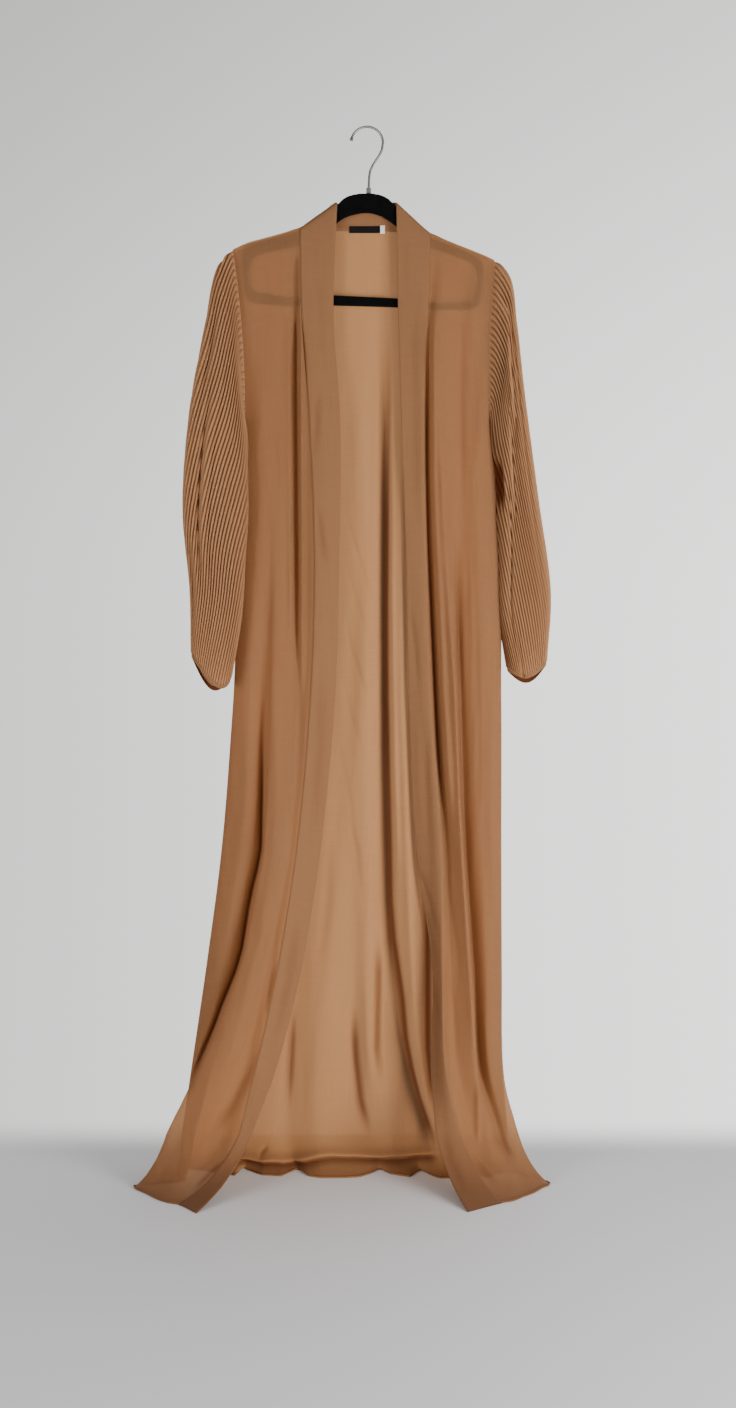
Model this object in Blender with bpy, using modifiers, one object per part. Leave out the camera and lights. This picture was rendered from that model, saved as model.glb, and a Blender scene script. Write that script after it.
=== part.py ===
"""Open abaya cloak of sheer chiffon, hanging on a slim flocked hanger.

The cloak hangs open in front. Its hem reaches the floor, where both fronts are pulled out and
forward and the back breaks. A continuous band runs up one front, round the back neck and down the
other. The sleeves are pleated all round and end in narrow gathered cuffs.

The origin is the inside top of the hook. X runs to the viewer's right, Y away from the viewer and
Z up. The tables hold millimetres. Across, down and depth are measured from the hook: across and
down where the sight line of a viewer in front crosses the hanger's plane, and depth from that
plane toward the viewer.
"""

import math

import bmesh
import bpy
from mathutils import Vector

# Driving dimensions, in millimetres.
MM = 0.001
EYE_DISTANCE = 2400.0
EYE_DROP = 921.6
FLOOR_DROP = 1651.0
PANEL_WALL = 1.2
BAND_WALL = 1.8
SLEEVE_WALL = 1.3
CUFF_WALL = 1.6
LABEL_WALL = 0.9
SEAM_GAP = 0.3
LEAN_MARGIN = 1.5
HEM_LIFT = 0.8

# How the cloth rolls over the hanger's arms: the depth and the drop from the crest.
ROLLS = ((3.0, 1.3), (4.6, 5.5))

# Heights of the body's levels below the hook, as seen, and the rows between one and the next.
LEVEL_DROPS = {"chest": 300, "armpit": 470, "waist": 700, "hip": 920,
               "thigh": 1150, "knee": 1350, "shin": 1500, "ankle": 1610}
LEVEL_STEPS = (1, 1, 2, 2, 2, 2, 2, 2, 2, 2)
ROWS_TO_ARMPIT = sum(LEVEL_STEPS[:4])
TOE_STEPS = 3
TOE_REACH = 0.35
TOE_RISE = 0.25
FOLD_STEPS = 2

# Each fold line of the body, from its top to its hem. The top is across, down and depth, each
# level across and depth, and the hem across and down where the line ends on the floor.
FOLD_COLUMNS = ("name", "top", "chest", "armpit", "waist", "hip",
                "thigh", "knee", "shin", "ankle", "hem")
SIDE_LEFT = ("side", (-216, 195, 0), (-202, 0), (-197, 0), (-202, -2), (-216, -2),
             (-234, 0), (-260, 4), (-282, 12), (-298, 30), (-306, 1670))
SIDE_RIGHT = ("side", (202, 212, 0), (194, 0), (195, 0), (206, 0), (213, 0),
              (213, 2), (214, 8), (215, 18), (224, 38), (224, 1670))
FRONT_LEFT = (
    ("side part", (-189, 183, 0), (-178, 9), (-174, 9), (-182, 13), (-192, 17),
     (-205, 22), (-237, 26), (-266, 32), (-287, 48), (-302, 1679)),
    ("valley", (-170, 178, 0), (-160, 11), (-157, 11), (-158, 15), (-163, 11),
     (-165, 11), (-200, 16), (-248, 36), (-277, 64), (-294, 1685)),
    ("ridge", (-163, 176, 0), (-152, 12), (-147, 12), (-149, 18), (-155, 27),
     (-170, 36), (-211, 48), (-270, 72), (-323, 104), (-374, 1694)),
    ("crest", (-152, 173, 0), (-142, 12), (-139, 13), (-139, 19), (-144, 30),
     (-155, 42), (-195, 57), (-250, 84), (-298, 116), (-354, 1706)),
    ("middle", (-134, 168, 0), (-130, 12), (-128, 12), (-126, 17), (-123, 27),
     (-136, 42), (-176, 56), (-214, 86), (-261, 126), (-336, 1715)),
    ("inner valley", (-118, 163, 0), (-117, 6), (-117, 0), (-114, 3), (-110, 20),
     (-125, 38), (-163, 52), (-198, 82), (-234, 124), (-320, 1720)),
    ("band seam", (-109, 160, 0), (-106, 10), (-94, 14), (-86, 18), (-93, 27),
     (-114, 41), (-146, 58), (-179, 90), (-206, 134), (-302, 1723)),
    ("free edge", (-50, 120, 0), (-56, 9), (-45, 12), (-47, 12), (-54, 16),
     (-76, 26), (-108, 42), (-146, 72), (-187, 126), (-275, 1736)),
)
FRONT_RIGHT = (
    ("outer", (192, 207, 0), (187, 8), (189, 8), (198, 12), (205, 15),
     (205, 20), (206, 28), (210, 46), (240, 84), (291, 1690)),
    ("side part", (170, 198, 0), (170, 11), (171, 11), (178, 15), (182, 19),
     (184, 26), (190, 35), (194, 54), (222, 90), (280, 1696)),
    ("valley", (150, 190, 0), (149, 8), (146, 6), (147, 7), (150, 8),
     (157, 14), (171, 24), (179, 46), (210, 88), (266, 1704)),
    ("ridge", (125, 180, 0), (110, 13), (115, 15), (125, 20), (141, 28),
     (152, 40), (166, 52), (174, 76), (195, 108), (250, 1710)),
    ("inner valley", (109, 173, 0), (99, 6), (98, 1), (104, 1), (112, 4),
     (125, 18), (134, 36), (142, 66), (170, 108), (232, 1717)),
    ("band seam", (99, 168, 0), (96, 10), (90, 13), (94, 17), (101, 22),
     (118, 33), (120, 48), (125, 76), (147, 116), (214, 1720)),
    ("free edge", (46, 120, 0), (49, 8), (54, 11), (62, 12), (66, 10),
     (77, 14), (104, 22), (101, 50), (109, 112), (160, 1734)),
)
BACK = (
    ("left 1", (-197, 186, 0), (-179, -9), (-176, -10), (-186, -12), (-195, -14),
     (-211, -14), (-237, -12), (-259, -6), (-276, 8), (-291, 1666)),
    ("left 2", (-170, 178, 0), (-154, -10), (-150, -11), (-154, -16), (-163, -18),
     (-176, -18), (-192, -12), (-211, -8), (-227, 8), (-234, 1672)),
    ("left 3", (-134, 168, 0), (-125, -9), (-125, -9), (-125, -10), (-128, -12),
     (-134, -14), (-147, -12), (-160, -2), (-176, 14), (-186, 1678)),
    ("neck left", (-109, 160, 0), (-110, -10), (-110, -11), (-112, -12), (-115, -14),
     (-122, -16), (-133, -13), (-141, -4), (-154, 12), (-157, 1679)),
    ("small valley", (-101, 165, -7), (-96, -11), (-96, -12), (-99, -14), (-104, -16),
     (-110, -18), (-118, -17), (-123, -12), (-130, 6), (-115, 1668)),
    ("flat", (-54, 165, -9), (-61, -10), (-61, -10), (-64, -12), (-67, -13),
     (-74, -14), (-80, -12), (-83, -5), (-83, 12), (-67, 1679)),
    ("long valley", (-29, 165, -9.5), (-27, -10), (-27, -10), (-27, -12), (-29, -14),
     (-29, -17), (-26, -18), (-21, -16), (-3, 0), (-3, 1680)),
    ("centre back", (-3, 165, -9.5), (-2, -8), (-2, -7), (-2, -8), (-2, -9),
     (0, -10), (3, -6), (13, -2), (32, 10), (48, 1668)),
    ("dark valley", (16, 165, -9.5), (24, -13), (28, -18), (26, -20), (26, -21),
     (29, -21), (37, -19), (62, -13), (96, 6), (102, 1679)),
    ("stripe left", (34, 166, -9.5), (38, -8), (38, -7), (38, -7), (40, -6),
     (46, -4), (55, 2), (75, 14), (106, 30), (125, 1680)),
    ("stripe middle", (54, 167, -9.5), (58, -5), (58, -4), (59, -3), (64, -1),
     (70, 3), (75, 9), (90, 18), (112, 34), (138, 1680)),
    ("stripe right", (74, 168, -8.5), (77, -5), (78, -4), (80, -4), (83, -4),
     (86, 0), (90, 5), (101, 14), (118, 30), (150, 1678)),
    ("neck right", (99, 168, 0), (100, -12), (102, -14), (104, -16), (106, -18),
     (108, -18), (112, -14), (120, -6), (137, 12), (166, 1672)),
    ("right 2", (131, 182, 0), (139, -10), (139, -10), (146, -11), (150, -13),
     (154, -12), (157, -9), (160, 0), (168, 18), (190, 1679)),
    ("right 1", (176, 200, 0), (173, -10), (174, -10), (184, -12), (189, -13),
     (190, -12), (192, -8), (194, 2), (198, 22), (208, 1674)),
)
NECK_LEFT_NAME = "neck left"
CENTRE_BACK_NAME = "centre back"
NECK_RIGHT_NAME = "neck right"
NECK_LINES = ("small valley", "flat", "long valley", "centre back", "dark valley",
              "stripe left", "stripe middle", "stripe right")

# The band's free edge behind the neck: its height at the centre, its extra drop at the shoulders
# and how far it draws in toward the centre.
NECK_CENTRE = -3.0
NECK_EDGE_DROP = 115.0
NECK_EDGE_FALL = 5.0
NECK_EDGE_DRAW = 0.47
NECK_HALF_WIDTH = 106.0
NECK_EASE = 0.3
BAND_STEPS = 3

# Each section of a sleeve, from the armhole to the cuff. Inner and outer are the ends of the
# section, across and down. Bow bends it outward, sag lowers its middle, and lap carries its front
# over the body. Groove is the depth of the fold between the front and back lobes, pleat the
# height of a pleat each way, and turn the pleats that it has turned outward.
SLEEVE_COLUMNS = ("name", "inner", "outer", "bow", "sag", "lap", "centre", "half",
                  "groove", "pleat", "turn")
SLEEVE_LEFT = (
    ("armhole", (-197, 470), (-216, 195), 5.5, 0, 0, 0, 9, 0, 0.4, 0),
    ("rise", (-203, 474), (-221, 199), 5, 0, 0, 6, 14, 0, 0.9, 0.3),
    ("cap", (-200, 497), (-240, 224), 3, 0, 3, 16, 17, 3, 1.2, 0.7),
    ("upper", (-197, 555), (-261, 323), 0, 0, 3, 22, 19, 10, 1.3, 1.5),
    ("elbow", (-196, 611), (-285, 459), 0, 0, 0, 24, 21, 15, 1.3, 2.5),
    ("lobe", (-201, 695), (-295, 610), 0, 0, 0, 25, 21, 15, 1.3, 4),
    ("forearm", (-206, 779), (-284, 739), 0, 0, 0, 25, 20, 9, 1.2, 5),
    ("cuff seam", (-218, 865), (-283, 843), 0, 14, 0, 24, 14, 0, 0.7, 6),
)
SLEEVE_RIGHT = (
    ("armhole", (195, 470), (202, 212), -4.5, 0, 0, 0, 9, 0, 0.4, 0),
    ("rise", (203, 474), (209, 217), -3, 0, 0, 2, 13, 0, 0.9, 0.3),
    ("cap", (210, 502), (226, 242), 0, 0, 0, 3, 17, 4, 1.2, 0.7),
    ("upper", (215, 547), (236, 310), 0, 0, 0, 4, 20, 8, 1.3, 1.5),
    ("elbow", (218, 603), (249, 425), 0, 0, 0, 4, 22, 8, 1.3, 2.5),
    ("lobe", (219, 695), (271, 592), 0, 0, 0, 4, 22, 6, 1.3, 4),
    ("forearm", (216, 774), (291, 745), 0, 0, 0, 4, 21, 3, 1.2, 5),
    ("cuff seam", (226, 862), (286, 860), 0, 14, 0, 4, 14, 0, 0.7, 6),
)
PLEATS = 48
SECTION_FULLNESS = 0.8
ARMHOLE_EASE = 0.2
ARMPIT_ALLOWANCE = 0.9
ALLOWANCE_FALL = 4
GROOVE_PLACE = {"left": 0.64, "right": 0.34}
GROOVE_WIDTH = 0.1
OUTLINE_STEPS = 40
CUFF_POINTS = 40
CUFF_DEPTH = 7.0
CUFF_TAPER = 0.96
CUFF_STEPS = 2

# The hanger's outline, across and down, over the left arm, along the bar and back over the right.
HANGER_OUTER = ((-3, 105), (-24, 107), (-40, 114), (-51, 126), (-77, 148), (-109, 166),
                (-141, 175), (-173, 184), (-192, 191), (-199, 198), (-201, 211), (-198, 250),
                (-192, 274), (-178, 281), (-56, 284), (48, 287), (162, 291), (175, 286),
                (181, 262), (184, 226), (182, 216), (174, 208), (147, 195), (115, 182),
                (99, 174), (75, 160), (45, 127), (33, 114), (18, 107))
HANGER_INNER = ((-5, 136), (-19, 138), (-38, 144), (-56, 157), (-109, 188), (-173, 202),
                (-186, 212), (-188, 250), (-180, 263), (-56, 268), (48, 273), (160, 278),
                (169, 266), (173, 226), (162, 214), (99, 192), (42, 155), (30, 146), (12, 138))
HANGER_BEVEL = 1.6
HANGER_CORE = 0.9
HANGER_RESOLUTION = 2

# The hook: an arc, a drop to the stem, and the collar that stands on the hanger.
WIRE_RADIUS = 2.0
HOOK_CENTRE = (-1.5, 23.5)
HOOK_RADIUS = 25.5
HOOK_TIP_ANGLE = 172
HOOK_STEP = 13
HOOK_DROP = ((22.0, 36.0), (18.0, 44.0), (13.0, 51.5), (7.5, 60.0), (3.5, 69.0),
             (2.0, 78.0), (1.5, 88.0), (1.2, 96.0))
HOOK_COLLAR = ((1.2, 96.5), (1.2, 104.7))
COLLAR_SCALE = 2.0
TIP_SCALE = 1.6

# Labels inside the back neck: their ends across, and their ends up the band from its seam.
LABEL_SPAN = (-30.0, 19.0)
LABEL_RISE = (-3.0, 8.0)
TAB_SPAN = (19.6, 27.0)
TAB_RISE = (-4.0, 9.0)
LABEL_STEPS = 4

CHIFFON = (0.30, 0.155, 0.075)
BAND_CHIFFON = (0.26, 0.13, 0.062)
VELVET = (0.006, 0.006, 0.007)
CHROME = (0.55, 0.56, 0.58)
BLACK_WOVEN = (0.012, 0.012, 0.013)
WHITE_WOVEN = (0.62, 0.61, 0.58)


def clear_scene():
    """Remove every object of the scene."""
    for obj in list(bpy.data.objects):
        bpy.data.objects.remove(obj, do_unlink=True)


def make_material(name, colour, roughness, metallic=0.0):
    """Return a plain Principled material."""
    material = bpy.data.materials.new(name)
    material.use_nodes = True
    shader = material.node_tree.nodes["Principled BSDF"]
    shader.inputs["Base Color"].default_value = (*colour, 1.0)
    shader.inputs["Roughness"].default_value = roughness
    shader.inputs["Metallic"].default_value = metallic
    return material


def seen(across, down, depth):
    """Return the point on a sight line at a depth before the hanger's plane."""
    scale = 1.0 - depth / EYE_DISTANCE
    return Vector((across * scale, -depth, -EYE_DROP + (EYE_DROP - down) * scale))


def on_floor(across, down):
    """Return the point where a sight line meets the floor, with the hem's lift."""
    drop = FLOOR_DROP - HEM_LIFT
    scale = (drop - EYE_DROP) / (down - EYE_DROP)
    return Vector((across * scale, -EYE_DISTANCE * (1.0 - scale), -drop))


def spline(points, steps, before=None, after=None):
    """Return a centripetal Catmull-Rom curve through points, with steps in each interval."""
    before = before if before is not None else points[0] * 2.0 - points[1]
    after = after if after is not None else points[-1] * 2.0 - points[-2]
    chain = [before, *points, after]
    curve = []
    for index in range(len(points) - 1):
        p0, p1, p2, p3 = chain[index:index + 4]
        t1 = math.sqrt(max((p1 - p0).length, 1e-6))
        t2 = t1 + math.sqrt(max((p2 - p1).length, 1e-6))
        t3 = t2 + math.sqrt(max((p3 - p2).length, 1e-6))
        count = steps[index] if isinstance(steps, tuple) else steps
        for step in range(count):
            t = t1 + (t2 - t1) * step / count
            a1 = p0.lerp(p1, t / t1)
            a2 = p1.lerp(p2, (t - t1) / (t2 - t1))
            a3 = p2.lerp(p3, (t - t2) / (t3 - t2))
            b1 = a1.lerp(a2, t / t2)
            b2 = a2.lerp(a3, (t - t1) / (t3 - t1))
            curve.append(b1.lerp(b2, (t - t1) / (t2 - t1)))
    curve.append(points[-1].copy())
    return curve


def toe(ankle, hem):
    """Return the points of a fold from the ankle to its hem, settling onto the floor."""
    bend = ankle.lerp(hem, TOE_REACH)
    bend.z = hem.z + (ankle.z - hem.z) * TOE_RISE
    points = []
    for step in range(1, TOE_STEPS + 1):
        t = step / TOE_STEPS
        points.append(ankle.lerp(bend, t).lerp(bend.lerp(hem, t), t))
    return points


def fold_line(row, roll):
    """Return a fold's points from top to hem. Roll is 1 over the arm in front, -1 behind, or 0."""
    fold = dict(zip(FOLD_COLUMNS, row))
    across, down, depth = fold["top"]
    keys = [seen(across, down, depth)]
    for roll_depth, drop in ROLLS:
        keys.append(seen(across, down + drop, depth + roll * roll_depth))
    for level, level_down in LEVEL_DROPS.items():
        level_across, level_depth = fold[level]
        keys.append(seen(level_across, level_down, level_depth))
    return spline(keys, LEVEL_STEPS) + toe(keys[-1], on_floor(*fold["hem"]))


def section_point(row, place, face, groove_place=0.5):
    """Return a point of a sleeve's section. Place runs from 0 inside to 1 outside."""
    section = dict(zip(SLEEVE_COLUMNS, row))
    inner, outer = section["inner"], section["outer"]
    arch = math.sin(math.pi * place)
    across = inner[0] + (outer[0] - inner[0]) * place + section["bow"] * arch
    down = inner[1] + (outer[1] - inner[1]) * place + section["sag"] * arch
    swell = (2.0 * math.sqrt(max(place * (1.0 - place), 0.0))) ** SECTION_FULLNESS
    depth = section["centre"] + face * section["half"] * swell
    if face > 0:
        across += section["lap"] * arch
        depth -= section["groove"] * math.exp(-((place - groove_place) / GROOVE_WIDTH) ** 2)
    return seen(across, down, depth)


def side_lines(row, armhole):
    """Return the side's front and back edges: apart round the armhole and one below it."""
    line = fold_line(row, 0)
    top_down = armhole[2][1]
    armpit_down = armhole[1][1]
    front, back = [], []
    for index, point in enumerate(line):
        if index > ROWS_TO_ARMPIT:
            front.append(point)
            back.append(point)
            continue
        place = min(max((armpit_down + point.z) / (armpit_down - top_down), 0.0), 1.0)
        front.append(section_point(armhole, place, 1))
        back.append(section_point(armhole, place, -1))
    return front, back


def trim(edge, inward, along, wall):
    """Move an edge point inward, so that two tilted walls keep the seam's gap."""
    direction = (inward - edge).normalized()
    slope = abs(direction.dot(along.normalized()))
    lean = math.sqrt(max(1.0 - slope * slope, 0.0)) / max(slope, 0.5)
    return edge + direction * (SEAM_GAP / 2.0 + wall / 2.0 * lean * LEAN_MARGIN)


def cross_rows(lines, steps, before, after, wall, trims=(True, True)):
    """Return the rows of a panel across its fold lines, trimmed at both edges."""
    rows = []
    for index, points in enumerate(zip(*lines)):
        start = before[index] if before else None
        end = after[index] if after else None
        row = spline(list(points), steps, start, end)
        if trims[0]:
            along = row[1] - row[0] if start is None else points[1] - start
            row[0] = trim(row[0], row[1], along, wall)
        if trims[1]:
            along = row[-1] - row[-2] if end is None else end - points[-2]
            row[-1] = trim(row[-1], row[-2], along, wall)
        rows.append(row)
    return rows


def trim_top(rows, wall, neck):
    """Lower a panel's top row at its shoulder seam, and at the neck seam by the band's lie."""
    for column, edge in enumerate(rows[0]):
        along = neck.get(column, Vector((0.0, 1.0, 0.0)))
        rows[0][column] = trim(edge, rows[1][column], along, wall)


def add_object(name, mesh, material, collection):
    """Link a mesh as a named object with its material."""
    obj = bpy.data.objects.new(name, mesh)
    mesh.materials.append(material)
    collection.objects.link(obj)
    return obj


def add_sheet(name, rows, wall, material, collection, closed=False):
    """Make a wall of cloth from rows of points. A closed sheet is a tube."""
    shape = bmesh.new()
    grid = [[shape.verts.new(point * MM) for point in row] for row in rows]
    columns = len(rows[0])
    spans = columns if closed else columns - 1
    for upper, lower in zip(grid, grid[1:]):
        for column in range(spans):
            after = (column + 1) % columns
            shape.faces.new((upper[column], lower[column], lower[after], upper[after]))
    mesh = bpy.data.meshes.new(name)
    shape.to_mesh(mesh)
    shape.free()
    mesh.shade_smooth()
    obj = add_object(name, mesh, material, collection)
    solid = obj.modifiers.new("Wall", "SOLIDIFY")
    solid.thickness = wall * MM
    solid.offset = 0.0
    solid.use_rim = True
    return obj


def neck_rows(top_row, neck_columns):
    """Return the band's seam and free edge points round half of the back neck."""
    rows = []
    for column in neck_columns:
        seam = top_row[column]
        offset = seam.x - NECK_CENTRE
        fall = NECK_EDGE_FALL * (offset / NECK_HALF_WIDTH) ** 2
        free = Vector((NECK_CENTRE + offset * NECK_EDGE_DRAW, seam.y, -NECK_EDGE_DROP - fall))
        rows.append((seam, free))
    return rows


def band_sheet(lines, neck, centre_trim):
    """Return a band's rows: down the front from the shoulder, and round the neck behind it."""
    front = cross_rows(lines[-2:], BAND_STEPS, lines[-3], None, BAND_WALL, (True, False))
    behind = []
    for seam, free in neck:
        row = [seam.lerp(free, step / BAND_STEPS) for step in range(BAND_STEPS + 1)]
        row[0] = row[0] + (free - seam).normalized() * (SEAM_GAP / 2.0 + NECK_EASE)
        behind.append(row)
    rows = behind[::-1] + front
    for column, point in enumerate(rows[0]):
        rows[0][column] = point + Vector((centre_trim, 0.0, 0.0))
    return rows


def below_armpit(line):
    """Return a line's points from the armpit down, where the side seam joins the panels."""
    return [None] * ROWS_TO_ARMPIT + line[ROWS_TO_ARMPIT:]


def make_body(collection, materials):
    """Make the back, both fronts and both halves of the band."""
    left_front_edge, left_back_edge = side_lines(SIDE_LEFT, SLEEVE_LEFT[0])
    right_front_edge, right_back_edge = side_lines(SIDE_RIGHT, SLEEVE_RIGHT[0])
    back_lines = [fold_line(row, 0 if row[0] in NECK_LINES else -1) for row in BACK]
    left_lines = [fold_line(row, 1) for row in FRONT_LEFT]
    right_lines = [fold_line(row, 1) for row in FRONT_RIGHT]

    back_rows = cross_rows([left_back_edge, *back_lines, right_back_edge], FOLD_STEPS,
                           below_armpit(left_lines[0]), below_armpit(right_lines[0]), PANEL_WALL)
    names = [row[0] for row in BACK]
    first = (names.index(NECK_LEFT_NAME) + 1) * FOLD_STEPS
    centre = (names.index(CENTRE_BACK_NAME) + 1) * FOLD_STEPS
    last = (names.index(NECK_RIGHT_NAME) + 1) * FOLD_STEPS
    neck_left = neck_rows(back_rows[0], range(first + 1, centre + 1))
    neck_right = neck_rows(back_rows[0], range(last - 1, centre - 1, -1))
    neck = {first + 1 + index: free - seam for index, (seam, free) in enumerate(neck_left)}
    neck.update({last - 1 - index: free - seam for index, (seam, free) in enumerate(neck_right)})
    trim_top(back_rows, PANEL_WALL, neck)
    add_sheet("back_panel", back_rows, PANEL_WALL, materials["chiffon"], collection)

    sides = (("left", left_front_edge, left_lines, back_lines[0], neck_left, -SEAM_GAP / 2.0),
             ("right", right_front_edge, right_lines, back_lines[-1], neck_right, SEAM_GAP / 2.0))
    for side, edge, lines, other, neck_pairs, centre_trim in sides:
        rows = cross_rows([edge, *lines[:-1]], FOLD_STEPS, below_armpit(other), lines[-1],
                          PANEL_WALL)
        trim_top(rows, PANEL_WALL, {})
        add_sheet(f"front_{side}", rows, PANEL_WALL, materials["chiffon"], collection)
        band = band_sheet(lines, neck_pairs, centre_trim)
        add_sheet(f"band_{side}", band, BAND_WALL, materials["band"], collection)


def section_outline(row, groove_place):
    """Return a section's closed outline, over its front and back again behind."""
    front = [section_point(row, 0.5 - 0.5 * math.cos(math.pi * step / OUTLINE_STEPS), 1,
                           groove_place) for step in range(OUTLINE_STEPS)]
    behind = [section_point(row, 0.5 + 0.5 * math.cos(math.pi * step / OUTLINE_STEPS), -1)
              for step in range(OUTLINE_STEPS)]
    return front + behind


def resample(outline, count, start):
    """Return count points spaced evenly round a closed outline, from a share of its length."""
    ring = outline + [outline[0]]
    lengths = [0.0]
    for first, second in zip(ring, ring[1:]):
        lengths.append(lengths[-1] + (second - first).length)
    points = []
    index = 0
    targets = sorted(((start + step / count) % 1.0, step) for step in range(count))
    for share, step in targets:
        target = share * lengths[-1]
        while lengths[index + 1] < target:
            index += 1
        span = lengths[index + 1] - lengths[index]
        points.append((step, ring[index].lerp(ring[index + 1], (target - lengths[index]) / span)))
    return [point for step, point in sorted(points, key=lambda pair: pair[0])]


def pleated_ring(row, side):
    """Return one section's ring, its points in and out by turns to make the pleats."""
    section = dict(zip(SLEEVE_COLUMNS, row))
    outline = section_outline(row, GROOVE_PLACE[side])
    count = PLEATS * 2
    base = resample(outline, count, section["turn"] / PLEATS)
    chord = seen(*section["outer"], 0.0) - seen(*section["inner"], 0.0)
    axis = chord.cross(Vector((0.0, 1.0, 0.0))).normalized()
    winding = 1.0 if side == "left" else -1.0
    ring = []
    for index, point in enumerate(base):
        tangent = base[(index + 1) % count] - base[index - 1]
        direction = tangent.cross(axis).normalized() * winding
        height = section["pleat"] * (1.0 if index % 2 else -1.0)
        ring.append(point + direction * height)
    return ring


def edge_across(edge, height):
    """Return how far across an armhole's edge lies at a height, between its panel's rows."""
    for upper, lower in zip(edge, edge[1:ROWS_TO_ARMPIT + 1]):
        if height >= lower.z:
            share = min(max((upper.z - height) / (upper.z - lower.z), 0.0), 1.0)
            return upper.x + (lower.x - upper.x) * share
    return edge[ROWS_TO_ARMPIT].x


def sleeve_rings(table, side, edges):
    """Return a sleeve's rings. The first stands off the panels' edges by the seam's gap."""
    rings = [pleated_ring(row, side) for row in table]
    armpit = table[0][1][1]
    top = table[0][2][1]
    away = -1.0 if side == "left" else 1.0
    for index, point in enumerate(rings[0]):
        edge = edges[0] if index < PLEATS else edges[1]
        place = min(max((armpit + point.z) / (armpit - top), 0.0), 1.0)
        gap = SEAM_GAP + ARMHOLE_EASE + ARMPIT_ALLOWANCE * (1.0 - place) ** ALLOWANCE_FALL
        point.x = edge_across(edge, point.z) + away * gap
    return rings


def cuff_rings(table, side):
    """Return the rings of a narrow cuff, carried on past the sleeve's last section."""
    outline = section_outline(table[-1], GROOVE_PLACE[side])
    ring = resample(outline, CUFF_POINTS, 0.0)
    middle = sum(ring, Vector()) / len(ring)
    above = sum(section_outline(table[-2], GROOVE_PLACE[side]), Vector()) / (2 * OUTLINE_STEPS)
    down = (middle - above).normalized()
    rings = []
    for step in range(CUFF_STEPS + 1):
        share = step / CUFF_STEPS
        scale = 1.0 + (CUFF_TAPER - 1.0) * share
        drop = down * (SEAM_GAP * 2.0 + CUFF_DEPTH * share)
        rings.append([middle + (point - middle) * scale + drop for point in ring])
    return rings


def make_sleeves(collection, materials):
    """Make both pleated sleeves and their cuffs."""
    sides = (("left", SLEEVE_LEFT, SIDE_LEFT), ("right", SLEEVE_RIGHT, SIDE_RIGHT))
    for side, table, seam in sides:
        edges = side_lines(seam, table[0])
        add_sheet(f"sleeve_{side}", sleeve_rings(table, side, edges), SLEEVE_WALL,
                  materials["chiffon"], collection, closed=True)
        add_sheet(f"cuff_{side}", cuff_rings(table, side), CUFF_WALL,
                  materials["band"], collection, closed=True)


def make_label(name, span, rise, material, collection):
    """Make a flat label on the inside of the band's seam at the back neck."""
    seam_drop, seam_depth = next(row[1][1:] for row in BACK if row[0] == CENTRE_BACK_NAME)
    front = seam_depth + BAND_WALL / 2.0 + SEAM_GAP + LABEL_WALL / 2.0
    rows = []
    for height in rise[::-1]:
        row = []
        for step in range(LABEL_STEPS + 1):
            across = span[0] + (span[1] - span[0]) * step / LABEL_STEPS
            row.append(seen(across, seam_drop - height, front))
        rows.append(row)
    add_sheet(name, rows, LABEL_WALL, material, collection)


def make_hanger(collection, materials):
    """Make the flocked hanger as one flat outline with its triangular gap."""
    curve = bpy.data.curves.new("hanger_body", "CURVE")
    curve.dimensions = "2D"
    curve.fill_mode = "BOTH"
    curve.extrude = HANGER_CORE * MM
    curve.bevel_depth = HANGER_BEVEL * MM
    curve.bevel_resolution = 1
    curve.offset = -HANGER_BEVEL * MM
    curve.resolution_u = HANGER_RESOLUTION
    for outline in (HANGER_OUTER, HANGER_INNER):
        line = curve.splines.new("BEZIER")
        line.bezier_points.add(len(outline) - 1)
        for knot, (across, down) in zip(line.bezier_points, outline):
            knot.co = (across * MM, -down * MM, 0.0)
            knot.handle_left_type = "AUTO"
            knot.handle_right_type = "AUTO"
        line.use_cyclic_u = True
    curve.materials.append(materials["velvet"])
    obj = bpy.data.objects.new("hanger_body", curve)
    obj.rotation_euler = (math.radians(90.0), 0.0, 0.0)
    collection.objects.link(obj)


def make_hook(collection, materials):
    """Make the hook's wire from its tip over the arc to the collar."""
    points = []
    for step in range(HOOK_STEP + 1):
        angle = math.radians(HOOK_TIP_ANGLE * (1.0 - step / HOOK_STEP))
        points.append((HOOK_CENTRE[0] + HOOK_RADIUS * math.cos(angle),
                       HOOK_CENTRE[1] - HOOK_RADIUS * math.sin(angle), 1.0))
    points[0] = (*points[0][:2], TIP_SCALE)
    points.extend((across, down, 1.0) for across, down in HOOK_DROP)
    points.extend((across, down, COLLAR_SCALE) for across, down in HOOK_COLLAR)
    curve = bpy.data.curves.new("hanger_hook", "CURVE")
    curve.dimensions = "3D"
    curve.bevel_depth = WIRE_RADIUS * MM
    curve.bevel_resolution = 2
    curve.use_fill_caps = True
    wire = curve.splines.new("POLY")
    wire.points.add(len(points) - 1)
    for knot, (across, down, scale) in zip(wire.points, points):
        knot.co = (across * MM, 0.0, -down * MM, 1.0)
        knot.radius = scale
    curve.materials.append(materials["chrome"])
    collection.objects.link(bpy.data.objects.new("hanger_hook", curve))


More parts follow.
